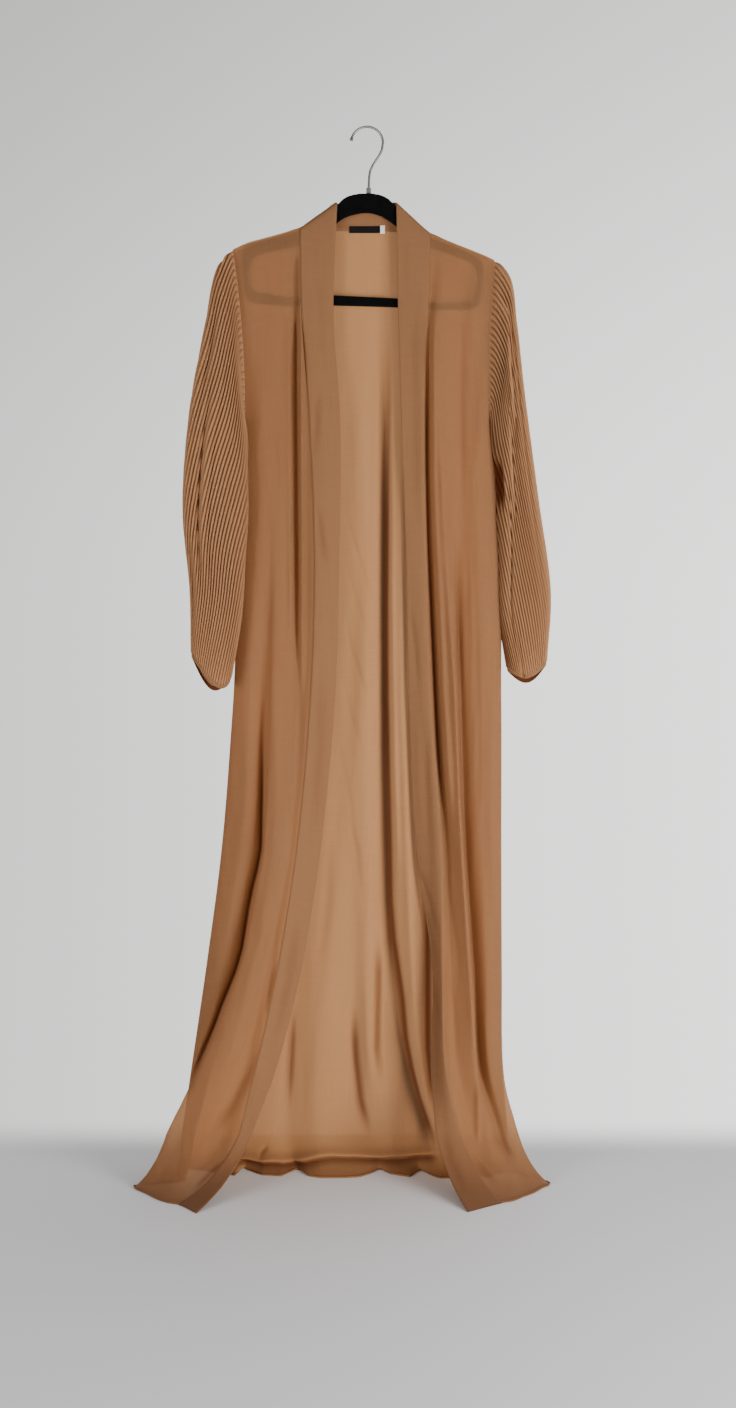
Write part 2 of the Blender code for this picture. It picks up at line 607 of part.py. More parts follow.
def main():
    """Build the cloak and its hanger."""
    clear_scene()
    collection = bpy.data.collections.new("abaya_cloak")
    bpy.context.scene.collection.children.link(collection)
    materials = {
        "chiffon": make_material("chiffon", CHIFFON, 0.75),
        "band": make_material("band_chiffon", BAND_CHIFFON, 0.75),
        "velvet": make_material("velvet", VELVET, 0.95),
        "chrome": make_material("chrome", CHROME, 0.22, 1.0),
        "black": make_material("black_woven", BLACK_WOVEN, 0.8),
        "white": make_material("white_woven", WHITE_WOVEN, 0.8),
    }
    make_body(collection, materials)
    make_sleeves(collection, materials)
    make_label("neck_label", LABEL_SPAN, LABEL_RISE, materials["black"], collection)
    make_label("size_tab", TAB_SPAN, TAB_RISE, materials["white"], collection)
    make_hanger(collection, materials)
    make_hook(collection, materials)


main()
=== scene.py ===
"""Looks of the open abaya cloak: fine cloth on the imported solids' own fold lines."""

import math

import bpy
import numpy as np
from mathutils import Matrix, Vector


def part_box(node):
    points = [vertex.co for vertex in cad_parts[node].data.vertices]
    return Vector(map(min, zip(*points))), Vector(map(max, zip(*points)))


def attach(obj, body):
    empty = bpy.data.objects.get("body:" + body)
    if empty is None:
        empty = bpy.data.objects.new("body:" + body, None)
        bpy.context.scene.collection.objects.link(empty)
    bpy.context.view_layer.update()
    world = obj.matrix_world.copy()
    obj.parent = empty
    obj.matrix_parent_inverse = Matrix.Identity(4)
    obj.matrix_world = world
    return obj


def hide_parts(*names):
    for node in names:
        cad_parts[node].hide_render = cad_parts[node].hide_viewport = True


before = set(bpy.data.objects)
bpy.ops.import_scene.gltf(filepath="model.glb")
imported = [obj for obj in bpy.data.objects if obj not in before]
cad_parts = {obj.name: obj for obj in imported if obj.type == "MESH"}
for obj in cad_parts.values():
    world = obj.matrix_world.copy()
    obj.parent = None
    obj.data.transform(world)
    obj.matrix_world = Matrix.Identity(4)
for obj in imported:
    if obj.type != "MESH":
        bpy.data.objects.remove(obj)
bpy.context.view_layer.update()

# The cloak's own sizes and tables, in millimetres, as the solids have them. The eye stands before
# the hanger's plane, and one of the photo's pixels is 1.6 mm there.
MM = 0.001
EYE_DISTANCE = 2400.0
EYE_DROP = 921.6
FLOOR_DROP = 1651.0
HEM_LIFT = 0.8
PIXEL = 1.6
PIXEL_ACROSS = 368.0
PIXEL_DOWN = 128.0
PHOTO_HEIGHT = 1408.0

# A fold line's knots: the roll at the shoulder by depth and drop, the levels under the hook with
# the rows between them, and the toe that lies forward on the floor.
ROLLS = ((3.0, 1.3), (4.6, 5.5))
LEVEL_DROPS = (300, 470, 700, 920, 1150, 1350, 1500, 1610)
LEVEL_STEPS = (2, 3, 24, 40, 54, 52, 54, 48, 38, 30)
ROWS_TO_ARMPIT = sum(LEVEL_STEPS[:4])
TOE_STEPS = 24
TOE_REACH = 0.35
TOE_RISE = 0.25

# A fold line's row: name, top (across, down, depth), each level (across, depth), hem (across, down).
SIDE_LEFT = ("side", (-216, 195, 0), (-202, 0), (-197, 0), (-202, -2), (-216, -2),
             (-234, 0), (-260, 4), (-282, 12), (-298, 30), (-306, 1670))
SIDE_RIGHT = ("side", (202, 212, 0), (194, 0), (195, 0), (206, 0), (213, 0),
              (213, 2), (214, 8), (215, 18), (224, 38), (224, 1670))
FRONT_LEFT = (
    ("side part", (-189, 183, 0), (-178, 9), (-174, 9), (-182, 13), (-192, 17),
     (-205, 22), (-237, 26), (-266, 32), (-287, 48), (-302, 1679)),
    ("valley", (-170, 178, 0), (-160, 11), (-157, 11), (-158, 15), (-163, 11),
     (-165, 11), (-200, 16), (-248, 36), (-277, 64), (-294, 1685)),
    ("ridge", (-163, 176, 0), (-152, 12), (-147, 12), (-149, 18), (-155, 27),
     (-170, 36), (-211, 48), (-270, 72), (-323, 104), (-374, 1694)),
    ("crest", (-152, 173, 0), (-142, 12), (-139, 13), (-139, 19), (-144, 30),
     (-155, 42), (-195, 57), (-250, 84), (-298, 116), (-354, 1706)),
    ("middle", (-134, 168, 0), (-130, 12), (-128, 12), (-126, 17), (-123, 27),
     (-136, 42), (-176, 56), (-214, 86), (-261, 126), (-336, 1715)),
    ("inner valley", (-118, 163, 0), (-117, 6), (-117, 0), (-114, 3), (-110, 20),
     (-125, 38), (-163, 52), (-198, 82), (-234, 124), (-320, 1720)),
    ("band seam", (-109, 160, 0), (-106, 10), (-94, 14), (-86, 18), (-93, 27),
     (-114, 41), (-146, 58), (-179, 90), (-206, 134), (-302, 1723)),
    ("free edge", (-50, 120, 0), (-56, 9), (-45, 12), (-47, 12), (-54, 16),
     (-76, 26), (-108, 42), (-146, 72), (-187, 126), (-275, 1736)),
)
FRONT_RIGHT = (
    ("outer", (192, 207, 0), (187, 8), (189, 8), (198, 12), (205, 15),
     (205, 20), (206, 28), (210, 46), (240, 84), (291, 1690)),
    ("side part", (170, 198, 0), (170, 11), (171, 11), (178, 15), (182, 19),
     (184, 26), (190, 35), (194, 54), (222, 90), (280, 1696)),
    ("valley", (150, 190, 0), (149, 8), (146, 6), (147, 7), (150, 8),
     (157, 14), (171, 24), (179, 46), (210, 88), (266, 1704)),
    ("ridge", (125, 180, 0), (110, 13), (115, 15), (125, 20), (141, 28),
     (152, 40), (166, 52), (174, 76), (195, 108), (250, 1710)),
    ("inner valley", (109, 173, 0), (99, 6), (98, 1), (104, 1), (112, 4),
     (125, 18), (134, 36), (142, 66), (170, 108), (232, 1717)),
    ("band seam", (99, 168, 0), (96, 10), (90, 13), (94, 17), (101, 22),
     (118, 33), (120, 48), (125, 76), (147, 116), (214, 1720)),
    ("free edge", (46, 120, 0), (49, 8), (54, 11), (62, 12), (66, 10),
     (77, 14), (104, 22), (101, 50), (109, 112), (160, 1734)),
)
BACK = (
    ("left 1", (-197, 186, 0), (-179, -9), (-176, -10), (-186, -12), (-195, -14),
     (-211, -14), (-237, -12), (-259, -6), (-276, 8), (-291, 1666)),
    ("left 2", (-170, 178, 0), (-154, -10), (-150, -11), (-154, -16), (-163, -18),
     (-176, -18), (-192, -12), (-211, -8), (-227, 8), (-234, 1672)),
    ("left 3", (-134, 168, 0), (-125, -9), (-125, -9), (-125, -10), (-128, -12),
     (-134, -14), (-147, -12), (-160, -2), (-176, 14), (-186, 1678)),
    ("neck left", (-109, 160, 0), (-110, -10), (-110, -11), (-112, -12), (-115, -14),
     (-122, -16), (-133, -13), (-141, -4), (-154, 12), (-157, 1679)),
    ("small valley", (-101, 165, -7), (-96, -11), (-96, -12), (-99, -14), (-104, -16),
     (-110, -18), (-118, -17), (-123, -12), (-130, 6), (-115, 1668)),
    ("flat", (-54, 165, -9), (-61, -10), (-61, -10), (-64, -12), (-67, -13),
     (-74, -14), (-80, -12), (-83, -5), (-83, 12), (-67, 1679)),
    ("long valley", (-29, 165, -9.5), (-27, -10), (-27, -10), (-27, -12), (-29, -14),
     (-29, -17), (-26, -18), (-21, -16), (-3, 0), (-3, 1680)),
    ("centre back", (-3, 165, -9.5), (-2, -8), (-2, -7), (-2, -8), (-2, -9),
     (0, -10), (3, -6), (13, -2), (32, 10), (48, 1668)),
    ("dark valley", (16, 165, -9.5), (24, -13), (28, -18), (26, -20), (26, -21),
     (29, -21), (37, -19), (62, -13), (96, 6), (102, 1679)),
    ("stripe left", (34, 166, -9.5), (38, -8), (38, -7), (38, -7), (40, -6),
     (46, -4), (55, 2), (75, 14), (106, 30), (125, 1680)),
    ("stripe middle", (54, 167, -9.5), (58, -5), (58, -4), (59, -3), (64, -1),
     (70, 3), (75, 9), (90, 18), (112, 34), (138, 1680)),
    ("stripe right", (74, 168, -8.5), (77, -5), (78, -4), (80, -4), (83, -4),
     (86, 0), (90, 5), (101, 14), (118, 30), (150, 1678)),
    ("neck right", (99, 168, 0), (100, -12), (102, -14), (104, -16), (106, -18),
     (108, -18), (112, -14), (120, -6), (137, 12), (166, 1672)),
    ("right 2", (131, 182, 0), (139, -10), (139, -10), (146, -11), (150, -13),
     (154, -12), (157, -9), (160, 0), (168, 18), (190, 1679)),
    ("right 1", (176, 200, 0), (173, -10), (174, -10), (184, -12), (189, -13),
     (190, -12), (192, -8), (194, 2), (198, 22), (208, 1674)),
)

# The back neck's seam and the band's free edge behind it.
NECK_LINES = ("small valley", "flat", "long valley", "centre back", "dark valley",
              "stripe left", "stripe middle", "stripe right")
NECK_CENTRE = -3.0
NECK_EDGE_DROP = 115.0
NECK_EDGE_FALL = 5.0
NECK_EDGE_DRAW = 0.47
NECK_HALF_WIDTH = 106.0

# A sleeve's section: its inner and outer edge (across, down), how its middle bows, sags and laps,
# its depth and half thickness, a pleat's height and how far round the pleats have wound.
SLEEVE_COLUMNS = ("name", "inner", "outer", "bow", "sag", "lap", "centre", "half", "pleat", "turn")
SLEEVE_LEFT = (
    ("armhole", (-197, 470), (-216, 195), 5.5, 0, 0, 0, 9, 0.4, 0),
    ("rise", (-203, 474), (-221, 199), 5, 0, 0, 6, 14, 1.2, -0.2),
    ("cap", (-200, 497), (-240, 224), 3, 0, 3, 16, 17, 1.7, -1.5),
    ("upper", (-197, 555), (-261, 323), 0, 0, 3, 22, 19, 1.7, -0.8),
    ("elbow", (-196, 611), (-285, 459), 0, 0, 0, 24, 21, 1.7, 1.6),
    ("lobe", (-201, 695), (-295, 610), 0, 0, 0, 25, 21, 1.7, 5),
    ("forearm", (-206, 779), (-284, 739), 0, 0, 0, 25, 20, 1.5, 8),
    ("cuff seam", (-218, 876), (-283, 838), 0, 26, 0, 24, 14, 0.8, 10.5),
)
SLEEVE_RIGHT = (
    ("armhole", (195, 470), (202, 212), -4.5, 0, 0, 0, 9, 0.4, 0),
    ("rise", (203, 474), (209, 217), -3, 0, 0, 2, 13, 1.9, -0.3),
    ("cap", (210, 502), (226, 242), 0, 0, 0, 3, 17, 2.4, -0.6),
    ("upper", (215, 547), (236, 310), 0, 0, 0, 4, 20, 2.2, 0.2),
    ("elbow", (218, 603), (249, 425), 0, 0, 0, 4, 22, 1.9, 3),
    ("lobe", (219, 695), (271, 592), 0, 0, 0, 4, 22, 1.7, 7),
    ("forearm", (216, 774), (291, 745), 0, 0, 0, 4, 21, 1.5, 11),
    ("cuff seam", (226, 862), (286, 852), 0, 18, 0, 4, 14, 0.8, 14),
)
SLEEVE_STEPS = (6, 10, 36, 54, 62, 66, 56)
OUTLINE_STEPS = 160
SECTION_FULLNESS = 0.8
# How far apart the values are set along a sleeve before they are smoothed.
KNOT_SPACING = 10.0

# A cuff's rim hangs lowest off its middle: how far it sags and how it leans, in front and behind.
RIM_LEAN = {"left": (1.0, 0.70), "right": (0.9, 1.0)}
RIM_LEAN_BEHIND = (1.35, 1.0)

# A pleat's profile over its columns, its gain over the solids' pleats, and the painted shade of its
# inside.
PLEATS = 48
PLEAT_COLUMNS = 6
PLEAT_PROFILE = (-1.0, -0.35, 0.35, 0.95, 1.0, -0.2)
PLEAT_GAIN = 1.2
PLEAT_SHADE = 0.85

# Where a sleeve's front lobe laps its outer one, and how deep the line between them is.
GROOVES = {
    "left": {"cap": (0.96, 3), "upper": (0.86, 5), "elbow": (0.74, 7), "lobe": (0.74, 7),
             "forearm": (0.93, 4)},
    "right": {"cap": (0.80, 4), "upper": (0.67, 8), "elbow": (0.42, 8), "lobe": (0.24, 6),
              "forearm": (0.20, 5), "cuff seam": (0.36, 4)},
}
GROOVE_WIDTH = 0.045
LOBE_DROP = 0.5
SECOND_GROOVE = {"left": (0.57, 0.3), "right": (0.84, 0.15)}

# How far a sleeve's inner edge goes over or under the body's edge, across and back, how fast that
# fades round the front and behind, and the painted shade of the tucked edge with its width at each
# section.
SLEEVE_TUCK = {
    "left": {"rise": (7, 0), "cap": (6, 0), "upper": (3, 0), "elbow": (3, 0), "lobe": (3, 0),
             "forearm": (3, 0)},
    "right": {"rise": (-7, 3), "cap": (-13, 8), "upper": (-15, 10), "elbow": (-16, 11),
              "lobe": (-11, 10), "forearm": (-6, 8), "cuff seam": (-4, 4)},
}
TUCK_FADE_FRONT = 7
TUCK_FADE_BEHIND = 2
TUCK_SHADE = {"left": 0.25, "right": 0.75}
TUCK_WIDTHS = {"left": (0.05,) * 8, "right": (0.04, 0.06, 0.09, 0.11, 0.12, 0.11, 0.13, 0.24)}

# The dark hollow under the right armpit's hanging pleats: its middle and half size in the photo's
# pixels, its depth, lean and painted shade, and the rim beside it.
HOLLOW_MIDDLE = (499.5, 484)
HOLLOW_HALF = (4.6, 21)
HOLLOW_DEPTH = 6.0
HOLLOW_LEAN = 0.06
HOLLOW_SHADE = 0.7
HOLLOW_RIM = 1.6
HOLLOW_RIM_AT = 1.5
HOLLOW_RIM_WIDTH = 2.0

CUFF_DEPTH = 7.0
CUFF_TAPER = 0.96
CUFF_ROWS = 9
CUFF_WALL = 0.05
# The cuff's inner wall is darkened by painted shade at this share.
CUFF_INSIDE_SHADE = 0.9

# The labels' spans across and over the back neck's seam, and how a tape stands off it and waves.
LABEL_SPAN = (-30.0, 19.0)
LABEL_RISE = (-3.0, 8.0)
TAB_SPAN = (19.6, 27.0)
TAB_RISE = (-4.0, 9.0)
TAPE_ROWS = 9
TAPE_COLUMNS = 25
TAPE_STAND_OFF = 1.6
TAPE_WAVE = 0.5
TAPE_WAVE_LENGTH = 7.0
TAPE_THICKNESS = 0.7

# Fine columns in each interval between fold lines, and the parts of a band's closed ring.
BACK_COLUMNS = 14
FRONT_COLUMNS = 18
BAND_COLUMNS = 12
BAND_HALF = 0.8
BAND_ROUND = 4

# How far the side seam stands out behind a sleeve: from, to and by, and how it eases in and out.
SIDE_SPREAD = (485.0, 930.0, 5.0)
SIDE_EASE = (80.0, 200.0)

# A front keeps this room before the hanger, from a reach under it and in full an ease above that.
HANGER_ROOM = 1.2
HANGER_REACH = 26.0
HANGER_EASE = 14.0

# The depth of a crease with the full painted shade, the deepest painted shade, and the painted shade
# of the cloth that lies doubled near the floor, which comes in between two heights in the photo's pixels.
FOLD_DEPTH = 14.0
FOLD_SHADE_MAX = 0.85
HEM_SHADE = 0.4
FRONT_LIES = (1110, 1190)
BACK_LIES = (1150, 1182)

# The back's hem on the floor, and the narrow roll that every hem is turned into.
HEM_ROWS = 14
HEM_BLEND = 12.0
HEM_EASE = 1.6
HEM_ROLL = 1.3
HEM_TURNS = range(0, 331, 30)

# Ripples: how many waves make them, how their lengths differ, their lean and their bend.
RIPPLE_WAVES = 9
RIPPLE_RANGE = (0.6, 1.7)
RIPPLE_LEAN = 0.06
RIPPLE_BEND = 0.9
RIPPLE_BEND_LENGTH = 0.7
# A finer set lies over the first: its share across, along and in height.
FINE_RIPPLE = (0.45, 0.5, 0.22)
FINE_SEED = 50

# Rows at the top and hem, and columns at a seam, over which ripples and creases fade in.
RIPPLE_ENDS = (75, 12)
RIPPLE_SEAM = 8
CREASE_ENDS = (20, 1)
CREASE_SEAM = 3

# A crease goes back by its depth, or forward by one below 0, fades in and out over shares of its
# path, and may differ in width on its sides. A step's curve peaks at 0.43, which the gain makes 1.
CREASE_COLUMNS = ("path", "width", "depth", "fade_in", "fade_out", "kind")
CREASE_DEFAULTS = {"fade_in": 0.4, "fade_out": 0.4, "kind": "fold"}
STEP_GAIN = 2.3


def seen(across, down, depth):
    """Points on sight lines at a depth before the hanger's plane, in millimetres."""
    across, down, depth = np.broadcast_arrays(*(np.asarray(v, float) for v in (across, down, depth)))
    scale = 1.0 - depth / EYE_DISTANCE
    return np.stack([across * scale, -depth, -EYE_DROP + (EYE_DROP - down) * scale], axis=-1)


def on_floor(across, down):
    """Points where sight lines meet the floor, with the hem's lift."""
    drop = FLOOR_DROP - HEM_LIFT
    scale = (drop - EYE_DROP) / (down - EYE_DROP)
    return np.array([across * scale, -EYE_DISTANCE * (1.0 - scale), -drop])


def to_photo(points):
    """Where points in millimetres fall in the photo, in its pixels."""
    scale = 1.0 + points[..., 1] / EYE_DISTANCE
    across = points[..., 0] / scale
    down = EYE_DROP - (points[..., 2] + EYE_DROP) / scale
    return PIXEL_ACROSS + across / PIXEL, PIXEL_DOWN + down / PIXEL


def mix(first, second, share):
    return first + (second - first) * share[..., None]


def spline(points, steps, before=None, after=None):
    """Centripetal Catmull-Rom curves through points, as curves by knots by 3."""
    points = np.asarray(points, float)
    first = 2.0 * points[:, 0] - points[:, 1]
    last = 2.0 * points[:, -1] - points[:, -2]
    if before is not None:
        first = np.where(np.isnan(before), first, before)
    if after is not None:
        last = np.where(np.isnan(after), last, after)
    chain = np.concatenate([first[:, None], points, last[:, None]], axis=1)
    pieces = []
    for index in range(points.shape[1] - 1):
        p0, p1, p2, p3 = knots = [chain[:, index + k, None] for k in range(4)]
        gaps = [np.linalg.norm(b - a, axis=-1) for a, b in zip(knots, knots[1:])]
        t1, t2, t3 = np.cumsum(np.sqrt(np.maximum(gaps, 1e-6)), axis=0)
        count = steps[index] if isinstance(steps, tuple) else steps
        t = t1 + (t2 - t1) * (np.arange(count) / count)[None]
        a1 = mix(p0, p1, t / t1)
        a2 = mix(p1, p2, (t - t1) / (t2 - t1))
        a3 = mix(p2, p3, (t - t2) / (t3 - t2))
        b1 = mix(a1, a2, t / t2)
        b2 = mix(a2, a3, (t - t1) / (t3 - t1))
        pieces.append(mix(b1, b2, (t - t1) / (t2 - t1)))
    pieces.append(points[:, -1:])
    return np.concatenate(pieces, axis=1)


def fold_line(row, roll):
    """A fold's points from top to hem."""
    across, down, depth = row[1]
    keys = [seen(across, down, depth)]
    for roll_depth, drop in ROLLS:
        keys.append(seen(across, down + drop, depth + roll * roll_depth))
    for level_down, (level_across, level_depth) in zip(LEVEL_DROPS, row[2:-1]):
        keys.append(seen(level_across, level_down, level_depth))
    line = spline([keys], LEVEL_STEPS)[0]
    ankle, hem = keys[-1], on_floor(*row[-1])
    bend = ankle + (hem - ankle) * TOE_REACH
    bend[2] = hem[2] + (ankle[2] - hem[2]) * TOE_RISE
    share = (np.arange(1, TOE_STEPS + 1) / TOE_STEPS)[:, None]
    toe = (ankle * (1 - share) + bend * share) * (1 - share) + (bend * (1 - share) + hem * share) * share
    return np.concatenate([line, toe])


def section_points(row, place, face, side="left"):
    """Points of a sleeve's section. Place runs from 0 inside to 1 outside."""
    section = dict(zip(SLEEVE_COLUMNS, row))
    inner, outer = section["inner"], section["outer"]
    arch = np.sin(np.pi * place)
    across = inner[0] + (outer[0] - inner[0]) * place + section["bow"] * arch
    rim, lean = RIM_LEAN[side] if face > 0 else RIM_LEAN_BEHIND
    sag = section["sag"] * rim * np.sin(np.pi * np.maximum(place, 0.0) ** lean)
    down = inner[1] + (outer[1] - inner[1]) * place + sag
    swell = (2.0 * np.sqrt(np.maximum(place * (1.0 - place), 0.0))) ** SECTION_FULLNESS
    depth = section["centre"] + face * section["half"] * swell
    if face > 0:
        across = across + section["lap"] * arch
        at, deep = GROOVES[side].get(section["name"], (0.5, 0.0))
        second, share = SECOND_GROOVE[side]
        depth = depth - deep * np.exp(-((place - at) / GROOVE_WIDTH) ** 2)
        depth = depth - deep * share * np.exp(-((place - second) / GROOVE_WIDTH) ** 2)
        depth = depth - deep * LOBE_DROP * np.clip((place - at) / GROOVE_WIDTH + 0.5, 0, 1) * swell
    return seen(across, down, depth)


def smooth(share):
    """A share from 0 to 1 that leaves and arrives level."""
    return share * share * (3 - 2 * share)


def side_lines(row, armhole):
    """The side's front and back edges: apart round the armhole and one below it."""
    line = fold_line(row, 0)
    armpit, top = armhole[1][1], armhole[2][1]
    drop = -line[:, 2]
    start, end, spread = SIDE_SPREAD
    share = np.clip((drop - start) / SIDE_EASE[0], 0, 1) * np.clip((end - drop) / SIDE_EASE[1], 0, 1)
    line[:, 0] += math.copysign(spread, line[0, 0]) * smooth(share)
    upper = line[:ROWS_TO_ARMPIT + 1]
    place = np.clip((armpit + upper[:, 2]) / (armpit - top), 0.0, 1.0)
    front, back = line.copy(), line.copy()
    front[:ROWS_TO_ARMPIT + 1] = section_points(armhole, place, 1)
    back[:ROWS_TO_ARMPIT + 1] = section_points(armhole, place, -1)
    return front, back


def below_armpit(line):
    """A line from the armpit down, with nothing above it."""
    out = line.copy()
    out[:ROWS_TO_ARMPIT] = np.nan
    return out


def panel(lines, steps, before, after=None):
    """A panel's grid, rows by columns, across its fold lines."""
    return spline(np.stack(lines, axis=1), steps, before, after)


def unit(vectors):
    return vectors / np.linalg.norm(vectors, axis=-1, keepdims=True)


def normals(grid, closed=False):
    """Unit normals of a grid, toward the viewer where it faces them."""
    if closed:
        across = np.roll(grid, -1, axis=1) - np.roll(grid, 1, axis=1)
    else:
        across = np.gradient(grid, axis=1)
    along = np.gradient(grid, axis=0)
    out = np.cross(across, along)
    return out / np.maximum(np.linalg.norm(out, axis=-1, keepdims=True), 1e-9)


def arc(grid, axis):
    """Lengths along a grid's rows or columns, for the cloth's own coordinates."""
    step = np.linalg.norm(np.diff(grid, axis=axis), axis=-1)
    pad = [(0, 0), (0, 0)]
    pad[axis] = (1, 0)
    return np.cumsum(np.pad(step, pad), axis=axis)


def crease(px, py, row):
    """How far back a crease takes the cloth, by its path in the photo's pixels."""
    row = CREASE_DEFAULTS | dict(zip(CREASE_COLUMNS, row))
    path = np.asarray(row["path"], float)
    lengths = np.concatenate([[0.0], np.cumsum(np.linalg.norm(np.diff(path, axis=0), axis=1))])
    best = np.full(px.shape, np.inf)
    side = np.zeros(px.shape)
    run = np.zeros(px.shape)
    for index in range(len(path) - 1):
        a, b = path[index], path[index + 1]
        d = b - a
        size = np.hypot(*d)
        t = np.clip(((px - a[0]) * d[0] + (py - a[1]) * d[1]) / size ** 2, 0.0, 1.0)
        dx, dy = px - (a[0] + t * d[0]), py - (a[1] + t * d[1])
        distance = np.hypot(dx, dy)
        near = distance < best
        best = np.where(near, distance, best)
        side = np.where(near, np.sign(d[0] * dy - d[1] * dx), side)
        run = np.where(near, (lengths[index] + t * size) / lengths[-1], run)
    ends = smooth(np.clip(run / row["fade_in"], 0, 1) * np.clip((1 - run) / row["fade_out"], 0, 1))
    wide = np.broadcast_to(row["width"], 2)
    r = best / np.where(side > 0, wide[0], wide[1])
    if row["kind"] == "step":
        return row["depth"] * ends * side * r * np.exp(-r ** 2) * STEP_GAIN
    return row["depth"] * ends * np.exp(-r ** 2)


def waves(px, py, seed, across, along, size):
    """Soft uneven ripples, longer along the cloth than across it."""
    rng = np.random.default_rng(seed)
    total = np.zeros(px.shape)
    for _ in range(RIPPLE_WAVES):
        wide = across * rng.uniform(*RIPPLE_RANGE)
        tall = along * rng.uniform(*RIPPLE_RANGE)
        lean = rng.uniform(-RIPPLE_LEAN, RIPPLE_LEAN)
        shift = rng.uniform(0, 2 * np.pi, 3)
        bend = RIPPLE_BEND * np.sin(py / (tall * RIPPLE_BEND_LENGTH) + shift[1])
        crosswise = np.sin((px + lean * py) * 2 * np.pi / wide + bend + shift[0])
        total += crosswise * np.sin(py * 2 * np.pi / tall + shift[2])
    return total * size / math.sqrt(RIPPLE_WAVES)


def add_object(name, data):
    obj = bpy.data.objects.new(name, data)
    bpy.context.scene.collection.objects.link(obj)
    return obj


def add_piece(name, grid, material, node, slot, fold=None, closed=False, flip=False):
    """A piece from a grid in millimetres, with the cloth's own coordinates and the painted shade of its
    folds.
    """
    rows, columns = grid.shape[:2]
    spans = columns if closed else columns - 1
    r, c = np.meshgrid(np.arange(rows - 1), np.arange(spans), indexing="ij")
    n = (c + 1) % columns
    corners = [r * columns + c, (r + 1) * columns + c, (r + 1) * columns + n, r * columns + n]
    quads = np.stack(corners, axis=-1).reshape(-1, 4)
    if flip:
        quads = quads[:, ::-1]
    mesh = bpy.data.meshes.new(name)
    mesh.vertices.add(rows * columns)
    mesh.vertices.foreach_set("co", (grid * MM).astype(np.float32).ravel())
    mesh.loops.add(quads.size)
    mesh.loops.foreach_set("vertex_index", quads.astype(np.int32).ravel())
    mesh.polygons.add(len(quads))
    mesh.polygons.foreach_set("loop_start", np.arange(0, quads.size, 4, dtype=np.int32))
    mesh.update(calc_edges=True)
    place = np.stack([arc(grid, 1).ravel(), arc(grid, 0).ravel()], axis=-1) * MM
    uv = place[quads]
    if closed:
        seam = quads[:, 3] % columns == 0
        uv[seam, 2:, 0] = uv[seam, :2, 0] + place[:, 0].max() / (columns - 1)
    mesh.uv_layers.new(name="cloth").data.foreach_set("uv", uv.astype(np.float32).ravel())
    if fold is not None:
        painted_shade = np.clip(fold, 0.0, 1.0).ravel()[:, None]
        colour = np.concatenate([painted_shade, painted_shade, painted_shade, np.ones_like(painted_shade)], axis=1)
        shade = mesh.attributes.new("fold", "FLOAT_COLOR", "POINT")
        shade.data.foreach_set("color", colour.astype(np.float32).ravel())
    mesh.shade_smooth()
    mesh.materials.append(material)
    obj = add_object(name, mesh)
    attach(obj, "root")
    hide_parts(node)
    return obj


# Materials.

WEAVE_PITCH = 0.00075
LABEL_PITCH = 0.0007
THREAD = {"Distortion": 1.2, "Detail": 1.0, "Detail Scale": 2.0}
CREPE_BUMP = 0.25
MOTTLE = 0.5
TRANSLUCENT = 0.22
# What is left of each colour under painted shade, where the cloth is folded deep or doubled.
FOLD_SHADE_COLOUR = (0.30, 0.13, 0.06)


def fill(tree, node, inputs):
    """Give a node's inputs their values. A socket or another node is linked instead."""
    for key, value in inputs.items():
        if isinstance(value, bpy.types.Node):
            value = value.outputs[0]
        if isinstance(value, bpy.types.NodeSocket):
            tree.links.new(value, node.inputs[key])
        else:
            node.inputs[key].default_value = value
    return node


def add_node(tree, kind, inputs=()):
    return fill(tree, tree.nodes.new("ShaderNode" + kind), dict(inputs))


def maths(tree, operation, *values):
    node = tree.nodes.new("ShaderNodeMath")
    node.operation = operation
    return fill(tree, node, dict(enumerate(values)))


def mixed(tree, share, first, second):
    """The second colour mixed into the first."""
    node = tree.nodes.new("ShaderNodeMix")
    node.data_type = "RGBA"
    return fill(tree, node, {"Factor": share, "A": first, "B": second}).outputs["Result"]


def mapped(tree, value, before, after=(0.0, 1.0), level=False):
    """A value carried from one range to another, with level ends if asked."""
    node = tree.nodes.new("ShaderNodeMapRange")
    if level:
        node.interpolation_type = "SMOOTHSTEP"
    limits = dict(zip(("From Min", "From Max", "To Min", "To Max"), before + after))
    return fill(tree, node, {"Value": value, **limits})


def noise(tree, place, inputs):
    return add_node(tree, "TexNoise", {"Vector": place, **inputs}).outputs["Fac"]


def threads(tree, place, direction, pitch, inputs):
    """Threads side by side. At scale 1 a wave texture has one band in 2 pi over 20 units."""
    scale = 2.0 * math.pi / 20.0 / pitch
    node = add_node(tree, "TexWave", {"Vector": place, "Scale": scale, **inputs})
    node.bands_direction = direction
    return node.outputs["Fac"]


def bump(tree, height, strength, distance):
    return add_node(tree, "Bump", {"Height": height, "Strength": strength, "Distance": distance})


def blend(tree, share, first, second):
    """The second shader mixed into the first."""
    return add_node(tree, "MixShader", {"Fac": share, 1: first, 2: second})


def new_material(name):
    material = bpy.data.materials.new(name)
    material.use_nodes = True
    material.node_tree.nodes.clear()
    return material, material.node_tree


def surfaced(material, shader):
    add_node(material.node_tree, "OutputMaterial", {"Surface": shader})
    return material


def cloth_place(tree):
    node = add_node(tree, "UVMap")
    node.uv_map = "cloth"
    return node


